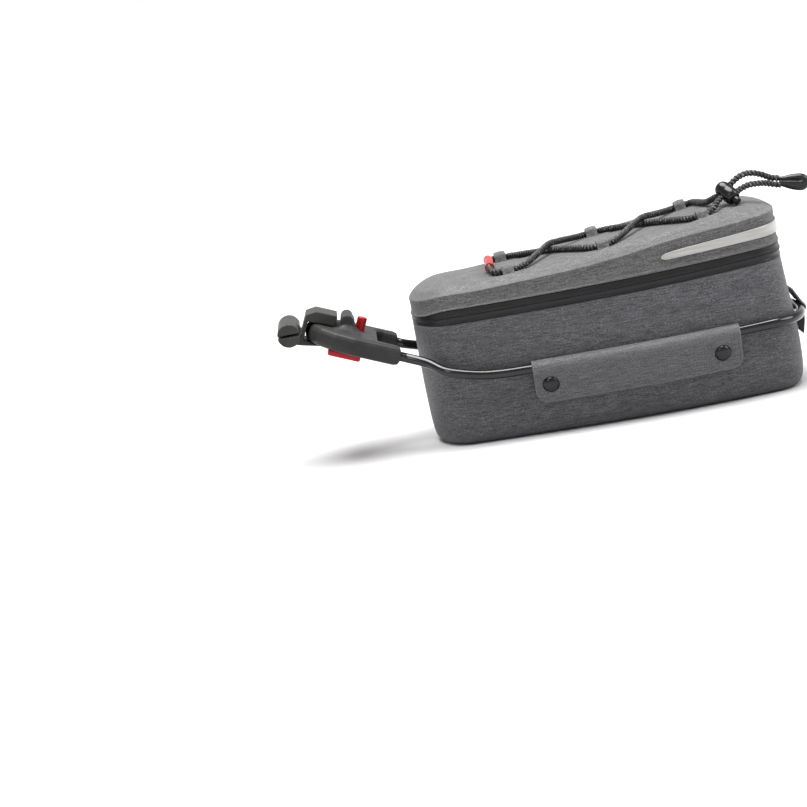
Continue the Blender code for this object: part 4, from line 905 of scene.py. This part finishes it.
# The snaps: black moulded press studs, a domed cap on a thin collar, two on each flap.
SNAP_RADIUS = 0.0062
SNAP_HEIGHT = 0.0034
SNAP_DROP = 0.0130
SNAP_BASE = 0.006
SNAPS = [
    {"name": "front", "from_nose": FLAP_START + 0.0115},
    {"name": "rear", "from_nose": FLAP_END - 0.0145},
]
SNAP_PROFILE = np.array(
    [
        # share of the radius, share of the height
        (0.00, -0.02),
        (1.00, -0.02),
        (1.00, 0.06),
        (0.985, 0.10),
        (0.965, 0.10),
        (0.955, 0.12),
        (0.940, 0.19),
        (0.890, 0.36),
        (0.810, 0.52),
        (0.690, 0.68),
        (0.540, 0.82),
        (0.370, 0.92),
        (0.190, 0.98),
        (0.00, 1.00),
    ]
)


def turned_grid(profile, columns=40):
    """A profile of radius and height, turned round the Z axis."""
    turn = np.linspace(0.0, 2 * np.pi, columns, endpoint=False)
    return np.stack(
        [
            profile[:, :1] * np.cos(turn),
            profile[:, :1] * np.sin(turn),
            np.broadcast_to(profile[:, 1:2], (len(profile), columns)),
        ],
        axis=2,
    )


def placed(grid, matrix):
    """The grid's points, turned and moved by a matrix."""
    turn = np.array(matrix.to_3x3())
    return grid @ turn.T + np.array(matrix.translation)


def frame_at(place, facing):
    """A matrix whose Z axis points along facing, at a place given from the bag's nose."""
    turn = Vector(facing).normalized().to_track_quat("Z", "Y").to_matrix().to_4x4()
    return Matrix.Translation(Vector(place) + Vector(NOSE)) @ turn


def make_snaps():
    """Each stud stands on the flap's outer face, square to it. Along the bag it is turned with the
    wall, by the wall's slope between two points SNAP_BASE ahead of it and behind it."""
    line, _ = flap_line()
    wall_x, wall_y = rod_wall()
    finish = gloss_finish("stud_plastic", (0.003, 0.003, 0.0035), 0.20, 0.36, 0.04)
    rows = SNAP_PROFILE * (SNAP_RADIUS, SNAP_HEIGHT)
    i = int(np.argmin(np.abs(line[:, 1] + SNAP_DROP)))
    normal = normals_of(line)[i]
    foot = line[i] + normal * (FLAP_THICK - 0.00005)
    for side_name, side in (("left", -1), ("right", 1)):
        for row in SNAPS:
            x = row["from_nose"]
            wall, ahead, behind = np.interp([x, x + SNAP_BASE, x - SNAP_BASE], wall_x, wall_y)
            flare = (ahead - behind) / (2 * SNAP_BASE)
            place = (x, side * (wall + foot[0]), float(rod_height(x)) + foot[1])
            facing = (-flare * normal[0], side * normal[0], normal[1])
            place_name = side_name + "_" + row["name"]
            stud = from_grid("stud_" + place_name, placed(turned_grid(rows), frame_at(place, facing)))
            settle(stud, finish, "black_plastic", "snap_" + place_name)


make_snaps()

# The rear tab: a strip of cloth welded to the tail above the rod and folded down over it, in
# front of the plastic hook that grips the rod from below.
TAB_HALF_WIDTH = 0.017
TAB_THICK = 0.0014
TAB_RISE = 0.0145
TAB_CORNER = 0.004


def hoop_centre():
    """The rod's middle at the tail: distance from the nose, and height."""
    wall = float(body_plan(outline(80)[0], ROD_HEIGHT)[40, 0])
    return wall + ROD_RADIUS + ROD_STAND_OFF, float(rod_height(LENGTH))


def make_tab():
    """Columns across the tab, rows down its outer face and back. Its line leaves the wall, rounds
    the rod and ends under it, and its two lower corners are rounded."""
    x, z = hoop_centre()
    clear = ROD_RADIUS + ROD_CLEARANCE
    wall = x - ROD_RADIUS - ROD_STAND_OFF
    turn = np.radians(np.linspace(56.0, -34.0, 10))
    start = [(wall + 0.0006, z + TAB_RISE), (wall + 0.0022, z + TAB_RISE * 0.78)]
    points = np.vstack([start, np.column_stack([x + clear * np.cos(turn), z + clear * np.sin(turn)])])
    line, run = curve_through(points, 0.0005)
    y = TAB_HALF_WIDTH * np.sin(np.linspace(-np.pi / 2, np.pi / 2, 61))
    lift = np.clip((np.abs(y) - TAB_HALF_WIDTH + TAB_CORNER) / TAB_CORNER, 0.0, 1.0)
    length = run[-1] - TAB_CORNER * (1.0 - np.sqrt(1.0 - lift**2))
    at = length[None] * np.linspace(0.0, 1.0, 40)[:, None]
    from_edge = np.minimum((TAB_HALF_WIDTH - np.abs(y))[None], length[None] - at)
    weld = 0.00025 * bell(from_edge - 0.0024, 0.0007)
    thick = TAB_THICK * rolled(from_edge, 0.0006) - weld
    section = folded(line, run, at, thick)
    wide = np.broadcast_to(y, section.shape[:2])
    grid = np.stack([section[:, :, 0], wide, section[:, :, 1]], axis=2) + NOSE
    reach = np.concatenate([at[::-1], at])
    thread = np.stack([grid[:, :, 1] + 0.5, reach, 0.0 * reach], axis=2)
    # The edge mask lightens the cut edges: partly wear, partly a painted highlight.
    edge = np.concatenate([0 * at, bell(from_edge, 0.0009) * 0.6])
    piece = from_grid("tab_strip", grid, around=False, stacked=True, thread=thread, edge=edge)
    settle(piece, flap_cloth, "body_fabric", "rear_tab")


make_tab()

# The coupling head, its adapter with the rail clamp, the hook and the zip's slider: moulded
# plastic with softly rounded edges and a fine matt grain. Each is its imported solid, melted
# slightly, and the head gets a skirt that flows from its plate up into the hump.
SKIRT_ROWS = np.array(
    [
        # how far out from the hump, height over the plate
        (0.0000, 0.0085),
        (0.0010, 0.0050),
        (0.0028, 0.0026),
        (0.0055, 0.0010),
        (0.0085, 0.0001),
        (0.0085, -0.0030),
    ]
)


def matt_finish(name, low, high, roughness=0.48):
    """Moulded plastic: an even colour, a fine spark-worn grain and soft, lighter handling marks; its sharp
    edges are lighter, partly wear and partly a painted highlight.
    """
    made, tree = new_finish(name)
    place = node(tree, "TexCoord").outputs["Object"]
    fine = grain(tree, place, (2600.0, 2600.0, 2600.0), 1.0)
    broad = grain(tree, place, (55.0, 55.0, 55.0), 3.0)
    base = mixed(tree, ramped(tree, broad, 0.35, 0.7), (*low, 1.0), (*high, 1.0))
    # Lighter on sharp convex edges: partly wear, partly a painted highlight.
    edges = node(tree, "NewGeometry").outputs["Pointiness"]
    worn_and_highlit = mixed(tree, 0.35, base, (*(1.9 * v for v in high), 1.0))
    base = mixed(tree, ramped(tree, edges, 0.52, 0.60), base, worn_and_highlit)
    rough = (broad, roughness - 0.07, roughness + 0.09)
    wired(tree, base, (fine, 0.22, 0.00012), rough, Specular_IOR_Level=0.25)
    return made


def moulded(name, source, voxel, melt, extra=()):
    """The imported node's solid, and any extra closed grids, merged on cells of one size and relaxed
    a few times, which rounds each edge by about a cell."""
    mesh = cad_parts[source].data.copy()
    work = bmesh.new()
    work.from_mesh(mesh)
    bmesh.ops.remove_doubles(work, verts=work.verts, dist=1e-6)
    work.to_mesh(mesh)
    work.free()
    rough = added(name + "_rough", mesh)
    if extra:
        with bpy.context.temp_override(active_object=rough, selected_editable_objects=[rough, *extra]):
            bpy.ops.object.join()
    cells = rough.modifiers.new("cells", "REMESH")
    cells.mode = "VOXEL"
    cells.voxel_size = voxel
    relax = rough.modifiers.new("relax", "SMOOTH")
    relax.factor = 0.5
    relax.iterations = melt
    graph = bpy.context.evaluated_depsgraph_get()
    finished = bpy.data.meshes.new_from_object(rough.evaluated_get(graph))
    bpy.data.objects.remove(rough)
    finished.shade_smooth()
    finished.name = name
    return added(name, finished)


HEAD_HALF_THICK = 0.007
HUMP_BEHIND = 0.0405
HUMP_THICK = 0.0093
HUMP_WIDTH = 0.036
head_matrix = (
    Matrix.Translation(Vector((SOCKET_END, 0.0, ROD_END_HEIGHT)) + Vector(NOSE))
    @ Matrix.Rotation(HEAD_PITCH, 4, "Y")
)


def hump_skirt():
    """A concave skirt round the hump's foot: a rounded rectangle that widens by each row's distance."""
    turn = np.linspace(0.0, 2 * np.pi, 64, endpoint=False)
    half_x, half_y = HUMP_THICK / 2.0 - 0.001, HUMP_WIDTH / 2.0 - 0.001
    rows = []
    for out, height in SKIRT_ROWS:
        x = (half_x + out) * np.sign(np.cos(turn)) * np.abs(np.cos(turn)) ** 0.45 - HUMP_BEHIND
        y = (half_y + out) * np.sign(np.sin(turn)) * np.abs(np.sin(turn)) ** 0.45
        rows.append(np.column_stack([x, y, np.full(len(turn), HEAD_HALF_THICK + height)]))
    ends = [(-HUMP_BEHIND, 0.0, HEAD_HALF_THICK + height) for height in SKIRT_ROWS[[0, -1], 1]]
    return from_grid("skirt", placed(capped(np.array(rows), *ends), head_matrix))


head_plastic = matt_finish("head_moulding", (0.015, 0.0145, 0.015), (0.026, 0.025, 0.0255))
adapter_plastic = matt_finish("adapter_moulding", (0.018, 0.018, 0.0165), (0.032, 0.031, 0.029), 0.42)
satin_black = matt_finish("satin_black", (0.005, 0.005, 0.0055), (0.011, 0.011, 0.0115), 0.34)
for name, source, cell, melt, finish, slot in (
    ("head_body", "coupling_head", 0.00055, 5, head_plastic, "head_plastic"),
    ("adapter_body", "saddle_adapter", 0.0006, 4, adapter_plastic, "head_plastic"),
    ("clamp_plate", "rail_clamp", 0.0006, 4, adapter_plastic, "black_plastic"),
    ("hook_body", "rear_hook", 0.0004, 4, satin_black, "black_plastic"),
    ("slider_body", "zip_slider", 0.0003, 3, satin_black, "black_plastic"),
):
    extra = [hump_skirt()] if source == "coupling_head" else []
    settle(moulded(name, source, cell, melt, extra), finish, slot, source)

# The release button and bar: red moulded plastic, the button a round stem with a rounded edge,
# the bar a wide plate under the head that is squeezed against it.
BUTTON_RADIUS = 0.0036
BUTTON_RISE = 0.0105
BUTTON_EDGE = 0.0011
BUTTON_INSIDE = 0.0045
BUTTON_BEHIND = 0.0311


def make_releases():
    """The button is a turned profile in the head's own frame, its top edge a quarter circle."""
    red = matt_finish("red_moulding", (0.280, 0.004, 0.008), (0.370, 0.008, 0.012), 0.34)
    turn = np.linspace(0.0, np.pi / 2, 9)
    rounded = np.column_stack(
        [
            BUTTON_RADIUS - BUTTON_EDGE * (1.0 - np.cos(turn)),
            BUTTON_RISE - BUTTON_EDGE * (1.0 - np.sin(turn)),
        ]
    )
    dished = [(BUTTON_RADIUS * 0.45, BUTTON_RISE - 0.0001), (0.0, BUTTON_RISE - 0.0002)]
    foot = [(0.0, -BUTTON_INSIDE), *((BUTTON_RADIUS, z) for z in (-BUTTON_INSIDE, 0.0, 0.0055))]
    profile = np.vstack([foot, rounded, dished])
    matrix = head_matrix @ Matrix.Translation((-BUTTON_BEHIND, 0.0, HEAD_HALF_THICK))
    button = from_grid("button_stem", placed(turned_grid(profile, 48), matrix), sharp=50.0)
    settle(button, red, "red_plastic", "release_button", body="button")
    settle(moulded("bar_plate", "release_bar", 0.0005, 4), red, "red_plastic", "release_bar", body="bar")
    return red


red_plastic = make_releases()

# The cord loops: short lengths of the lid's cloth folded over the cord, their two feet welded to
# the lid. The feet are flat, and the cloth bulges where the cord runs through it.
CORD_RADIUS = 0.00225
CORD_LIFT = 0.0003
LOOP_LENGTH = 0.0085
LOOP_CLEARANCE = 0.0015
LOOP_THICK = 0.0009
LOOP_FOOT = 0.0020
LOOPS = [
    {"name": "front_left", "along": 0.2686, "across": -0.6286},
    {"name": "front_right", "along": 0.2699, "across": 0.6286},
    {"name": "middle_left", "along": 0.5257, "across": -0.6429},
    {"name": "middle_right", "along": 0.5301, "across": 0.6429},
    {"name": "rear_left", "along": 0.7978, "across": -0.6571},
    {"name": "rear_right", "along": 0.7830, "across": 0.6571},
]


def make_loop(row, cloth):
    """Columns along the cord, rows over the arch and back under it: a half circle over the cord with
    a short flat foot on each side. Its middle is pinched a little by its own pull."""
    x = row["along"] * LENGTH
    y = row["across"] * MAX_HALF_WIDTH
    reach = LOOP_LENGTH / 2.0
    z, ahead, behind, left, right = lid_height(
        np.array([x, x + reach, x - reach, x, x]), np.array([y, y, y, y - reach, y + reach])
    )
    slope_x, slope_y = (ahead - behind) / LOOP_LENGTH, (right - left) / LOOP_LENGTH
    inner = CORD_RADIUS + LOOP_CLEARANCE
    middle = CORD_RADIUS + CORD_LIFT
    turn = np.radians(np.linspace(8.0, 172.0, 23))
    arch = np.column_stack([inner * np.cos(turn), middle + inner * np.sin(turn)])
    feet = np.array([(inner + LOOP_FOOT, 0.0002), (inner + 0.0010, 0.0003)])
    line, _ = curve_through(np.vstack([feet, arch, feet[::-1] * (-1.0, 1.0)]), 0.0004)
    along = reach * np.sin(np.linspace(-np.pi / 2, np.pi / 2, 25))
    from_edge = reach - np.abs(along)
    pinch = 0.00022 * np.cos(along / reach * np.pi)
    thick = LOOP_THICK * rolled(from_edge, 0.0004) + pinch * (line[:, 1:2] > 0.001)
    inside = np.repeat(line[:, None], len(along), axis=1)
    section = np.concatenate([inside[::-1], line[:, None] - normals_of(line)[:, None] * thick[:, :, None]])
    wide = np.broadcast_to(along, section.shape[:2])
    grid = np.stack([wide, section[:, :, 0], section[:, :, 1]], axis=2)
    tilt = Matrix.Rotation(-math.atan(slope_x), 4, "Y") @ Matrix.Rotation(math.atan(slope_y), 4, "X")
    centre = Vector((x, y, z + middle)) + Vector(NOSE)
    matrix = Matrix.Translation(centre) @ tilt @ Matrix.Translation((0.0, 0.0, -middle))
    thread = grid + (0.7 + row["along"], 0.0, 0.0)
    # The edge mask lightens the cut edges: partly wear, partly a painted highlight.
    edge = np.broadcast_to(bell(from_edge, 0.0007) * 0.5, grid.shape[:2])
    piece = from_grid(
        "loop_" + row["name"],
        placed(grid, matrix),
        around=False,
        stacked=True,
        thread=thread,
        edge=edge,
        top=0.0 * edge,
    )
    settle(piece, cloth, "lid_fabric", "cord_loop_" + row["name"])


for loop_row in LOOPS:
    make_loop(loop_row, lid_cloth_painted_lighter)

# The cords: black elastic cord with a braided sheath, 4.5 mm thick. One length is laced in
# crosses through the six loops, and both its ends pass the lock and leave it as short tails.
LACING_ROUTE = [
    (0.8559, -0.5200, 0.99),
    (0.8456, -0.5543, 0.74),
    (0.8316, -0.6114, 0.28),
    (0.8162, -0.6529, 0.04),
    (0.7978, -0.6571, 0.00),
    (0.7794, -0.6529, 0.00),
    (0.7574, -0.5643, 0.00),
    (0.7279, -0.3857, 0.00),
    (0.6949, -0.1714, 0.00),
    (0.6581, 0.0429, 0.00),
    (0.6176, 0.2714, 0.00),
    (0.5779, 0.5143, 0.00),
    (0.5504, 0.6386, 0.00),
    (0.5301, 0.6429, 0.00),
    (0.5099, 0.6386, 0.00),
    (0.4823, 0.5143, 0.14),
    (0.4338, 0.2286, 0.62),
    (0.3971, -0.0143, 1.03),
    (0.3640, -0.2286, 0.62),
    (0.3235, -0.4857, 0.14),
    (0.2888, -0.6243, 0.00),
    (0.2686, -0.6286, 0.00),
    (0.2483, -0.6243, 0.00),
    (0.2309, -0.5500, 0.05),
    (0.2250, -0.4286, 0.30),
    (0.2272, -0.2143, 0.30),
    (0.2309, 0.0000, 0.30),
    (0.2331, 0.2143, 0.30),
    (0.2331, 0.4286, 0.30),
    (0.2371, 0.5500, 0.05),
    (0.2480, 0.6257, 0.00),
    (0.2699, 0.6286, 0.00),
    (0.2901, 0.6229, 0.00),
    (0.3199, 0.5000, 0.00),
    (0.3603, 0.2500, 0.00),
    (0.3971, 0.0143, 0.00),
    (0.4338, -0.2286, 0.00),
    (0.4779, -0.5143, 0.00),
    (0.5055, -0.6386, 0.00),
    (0.5257, -0.6429, 0.00),
    (0.5460, -0.6386, 0.00),
    (0.5772, -0.5000, 0.14),
    (0.6176, -0.2429, 0.62),
    (0.6581, 0.0143, 1.03),
    (0.6949, 0.2429, 0.62),
    (0.7390, 0.5143, 0.14),
    (0.7628, 0.6529, 0.00),
    (0.7830, 0.6571, 0.00),
    (0.8032, 0.6543, 0.00),
    (0.8178, 0.5429, 0.00),
    (0.8224, 0.2714, 0.00),
    (0.8254, 0.0571, 0.00),
    (0.8316, -0.1429, 0.20),
    (0.8419, -0.2929, 0.65),
    (0.8522, -0.3857, 1.04),
]
RIB_SPACING = 0.0030
STATION = 0.00036
LOCK_LOW_END = {"along": 0.9015, "across": -0.5857, "lift": 0.0026}
LOCK_HIGH_END = {"along": 0.8621, "across": -0.3857, "lift": 0.0143}
UPPER_TAIL_ROUTE = [
    (0.0088, -0.0019, -0.0002),
    (0.0125, -0.0010, 0.0024),
    (0.0173, 0.0000, 0.0044),
    (0.0224, 0.0015, 0.0050),
    (0.0280, 0.0030, 0.0039),
    (0.0334, 0.0045, 0.0017),
    (0.0388, 0.0065, -0.0014),
    (0.0440, 0.0072, -0.0028),
]
LOWER_TAIL_ROUTE = [
    (0.0125, -0.0069, -0.0054),
    (0.0159, -0.0050, -0.0041),
    (0.0215, -0.0030, -0.0030),
    (0.0278, -0.0010, -0.0033),
    (0.0340, 0.0015, -0.0043),
    (0.0394, 0.0038, -0.0061),
    (0.0440, 0.0042, -0.0075),
]


def on_lid(along, across, lift):
    """A point over the lid, from shares of the bag's length and half width and a height over the lid."""
    x, y = np.asarray(along) * LENGTH, np.asarray(across) * MAX_HALF_WIDTH
    return np.stack([x, y, lid_height(x, y) + lift], axis=-1)


def braid_finish():
    """Black sheath with painted shade in the valleys between strands, a painted highlight on their crowns,
    and painted glints on the crowns.
    """
    made, tree = new_finish("cord_braid")
    relief = carried(tree, "relief")
    thread = carried(tree, "thread", "Vector")
    strands = grain(tree, thread, (2600.0, 2.4, 2.4), 1.0)
    glint_noise = grain(tree, thread, (760.0, 1.5, 1.5), 0.0)
    valley, crown = (0.0006, 0.0006, 0.0006, 1.0), (0.038, 0.038, 0.038, 1.0)
    # By the relief: painted shade in the valleys and a painted highlight on the crowns.
    base = mixed(tree, ramped(tree, relief, 0.30, 0.95), valley, crown)
    worn = mixed(tree, 0.2, base, (0.04, 0.04, 0.04, 1.0))
    base = mixed(tree, ramped(tree, strands, 0.40, 0.75), base, worn)
    # Pale flecks on the crowns: painted glints.
    painted_glints = worked_out(tree, "MULTIPLY", ramped(tree, glint_noise, 0.60, 0.70), relief)
    base = mixed(tree, painted_glints, base, (0.16, 0.16, 0.16, 1.0))
    wired(tree, base, (strands, 0.35, 0.00015), Roughness=0.50, Specular_IOR_Level=0.25)
    return made


def make_cord(name, line, marks, node_name, finish):
    """A tube whose radius swells over each strand: two ribs that wind round the cord, one turn in
    6 mm, and a fainter set that winds the other way. Both ends are cut square."""
    turns = np.linspace(0.0, 2 * np.pi, 24, endpoint=False)
    wind = 2 * np.pi / RIB_SPACING * marks[:, None]
    relief = 0.5 + 0.42 * np.cos(2 * turns[None] + wind) + 0.08 * np.cos(2 * turns[None] - wind)
    radius = CORD_RADIUS * (0.76 + 0.34 * relief**0.8)
    grid = tube_grid(line, radius, turns)
    full = np.vstack([relief[:1], relief, relief[-1:]])
    long = np.concatenate([marks[:1], marks, marks[-1:]])[:, None]
    thread = np.stack([np.broadcast_to(v, full.shape) for v in (long, np.cos(turns), np.sin(turns))], axis=2)
    piece = from_grid(name, grid, relief=full, thread=thread)
    return settle(piece, finish, "cord", node_name)


def longer(line, before, after):
    """The line with its end steps carried on straight, by a length before it and one after it."""
    start = line[0] + (line[0] - line[1]) / np.linalg.norm(line[0] - line[1]) * before
    end = line[-1] + (line[-1] - line[-2]) / np.linalg.norm(line[-1] - line[-2]) * after
    return np.vstack([start, line, end])


braid = braid_finish()
along, across, lift = np.array(LACING_ROUTE).T
lacing = on_lid(along, across, CORD_LIFT + CORD_RADIUS + lift * 2.0 * CORD_RADIUS)
lacing_line, lacing_marks = curve_through(longer(lacing, 0.0012, 0.0012) + NOSE, STATION)
make_cord("cord_laced", lacing_line, lacing_marks, "lacing_cord", braid)
lock_low = on_lid(**LOCK_LOW_END)
lock_high = on_lid(**LOCK_HIGH_END)
for tail_name, route in (("upper", UPPER_TAIL_ROUTE), ("lower", LOWER_TAIL_ROUTE)):
    tail_line, tail_marks = curve_through(longer(np.array(route), 0.0015, 0.0012) + lock_high + NOSE, STATION)
    tail = make_cord("tail_" + tail_name, tail_line, tail_marks, "cord_tail_" + tail_name, braid)

# The sleeve: a soft red tube over the cord's front bend, a little waisted, with a rolled lip at
# each end.
SLEEVE_RADIUS = 0.0033
SLEEVE_HALF_LENGTH = 0.026


def make_sleeve(finish):
    """Rings round the laced cord's front stretch: the outer face waisted by a sine and lipped by two
    bell curves, the inner face clear of the cord."""
    front = lacing_line[:, 0] < LOOPS[0]["along"] * LENGTH - LOOP_LENGTH + NOSE[0]
    keep = lacing_line[front & (np.abs(lacing_line[:, 1]) < SLEEVE_HALF_LENGTH)]
    turns = np.linspace(0.0, 2 * np.pi, 32, endpoint=False)
    share = np.linspace(0.0, 1.0, len(keep))[:, None]
    run = share * 2 * SLEEVE_HALF_LENGTH
    lip = bell(run, 0.0010) + bell(2 * SLEEVE_HALF_LENGTH - run, 0.0010)
    radius = SLEEVE_RADIUS - 0.00025 * np.sin(np.pi * share) + 0.0001 * lip
    outer = tube_grid(keep, radius, turns)[1:-1]
    inner = tube_grid(keep, CORD_RADIUS + 0.0003, turns)[1:-1]
    grid = np.concatenate([outer, inner[::-1]])
    piece = from_grid("sleeve_tube", grid, stacked=True, sharp=60.0)
    settle(piece, finish, "red_plastic", "cord_sleeve")


make_sleeve(red_plastic)

# The cord lock: a glossy black barrel that pinches both cords, with a push end under a spring
# at its lower side. The pull that joins the tails is a soft drop with a groove along each side.
LOCK_RADIUS = 0.0060
LOCK_LENGTH = 0.0175
PLUNGER_RADIUS = 0.0030
PLUNGER_REACH = 0.0040
PLUNGER_INSIDE = 0.0032
PLUNGER_EDGE = 0.0009
END_LENGTH = 0.0215
END_WIDTH = 0.0125
END_THICK = 0.0085
END_PITCH = math.radians(12.0)
BARREL_PROFILE = np.array(
    [
        # share of the radius, share of the half length
        (0.56, -0.22),
        (0.56, -0.99),
        (0.60, -1.00),
        (0.72, -1.00),
        (0.80, -0.97),
        (0.94, -0.80),
        (0.99, -0.55),
        (1.00, -0.30),
        (0.97, -0.12),
        (0.955, -0.05),
        (0.955, 0.05),
        (0.97, 0.12),
        (1.00, 0.30),
        (0.99, 0.45),
        (0.93, 0.65),
        (0.82, 0.81),
        (0.64, 0.93),
        (0.40, 0.99),
        (0.00, 1.00),
    ]
)
END_ROWS = np.array(
    [
        # share of the length, share of the width
        (0.00, 0.30),
        (0.01, 0.48),
        (0.05, 0.56),
        (0.16, 0.66),
        (0.42, 0.90),
        (0.62, 0.99),
        (0.74, 1.00),
        (0.86, 0.90),
        (0.94, 0.70),
        (0.985, 0.42),
        (1.00, 0.12),
    ]
)


def make_lock():
    """The barrel and the push end are turned profiles, on the line between the lock's two ends."""
    axis = Vector(lock_high - lock_low).normalized()
    place = Vector(lock_high) - axis * (LOCK_LENGTH / 2.0)
    matrix = frame_at(place, axis)
    half = LOCK_LENGTH / 2.0
    gloss = gloss_finish("lock_plastic", (0.005, 0.005, 0.0055), 0.18, 0.30, 0.03)
    well = np.vstack([[(0.0, -0.22)], BARREL_PROFILE]) * (LOCK_RADIUS, half)
    barrel = from_grid("lock_barrel", placed(turned_grid(well, 56), matrix), sharp=50.0)
    settle(barrel, gloss, "black_plastic", "cord_lock")
    turn = np.linspace(0.0, np.pi / 2, 7)
    low = -half - PLUNGER_REACH
    inner = -half + PLUNGER_INSIDE
    tip = np.column_stack(
        [
            PLUNGER_RADIUS - PLUNGER_EDGE * (1 - np.sin(turn)),
            low + PLUNGER_EDGE * (1 - np.cos(turn)),
        ]
    )
    profile = np.vstack([[(0.0, low)], tip, [(PLUNGER_RADIUS, inner), (0.0, inner)]])
    push = from_grid("lock_push", placed(turned_grid(profile, 40), matrix), sharp=50.0)
    settle(push, gloss, "black_plastic", "lock_plunger", body="plunger")


def make_end():
    """Rows along the pull, each an oval as wide as its row says, with a groove on both sides that
    fades towards the tip and divides a thin upper lobe from a full lower one."""
    t = np.linspace(0.0, 1.0, 70) ** 0.9
    wide = smooth(END_ROWS, 1, t)
    turn = np.linspace(0.0, 2 * np.pi, 56, endpoint=False)
    groove = bell(np.sin(turn) - 0.30, 0.16) * np.clip((0.86 - t) / 0.2, 0.0, 1.0)[:, None]
    side = END_THICK / 2.0 * wide[:, None] * np.cos(turn) * (1.0 - 0.55 * groove)
    up = END_WIDTH / 2.0 * wide[:, None] * np.sin(turn)
    x = np.broadcast_to(END_LENGTH * t[:, None], side.shape)
    grid = np.stack([x, side, up], axis=2)
    grid = capped(grid, grid[0].mean(axis=0), grid[-1].mean(axis=0))
    start = lock_high + (np.array(UPPER_TAIL_ROUTE[-1]) + np.array(LOWER_TAIL_ROUTE[-1])) / 2.0
    foot = Vector(start + NOSE) + Vector((0.0009, 0.0, 0.0))
    matrix = Matrix.Translation(foot) @ Matrix.Rotation(END_PITCH, 4, "Y")
    piece = from_grid("pull_drop", placed(grid, matrix))
    gloss = gloss_finish("pull_plastic", (0.006, 0.006, 0.0065), 0.26, 0.30, 0.06)
    return settle(piece, gloss, "black_plastic", "cord_end")


make_lock()
pull_drop = make_end()
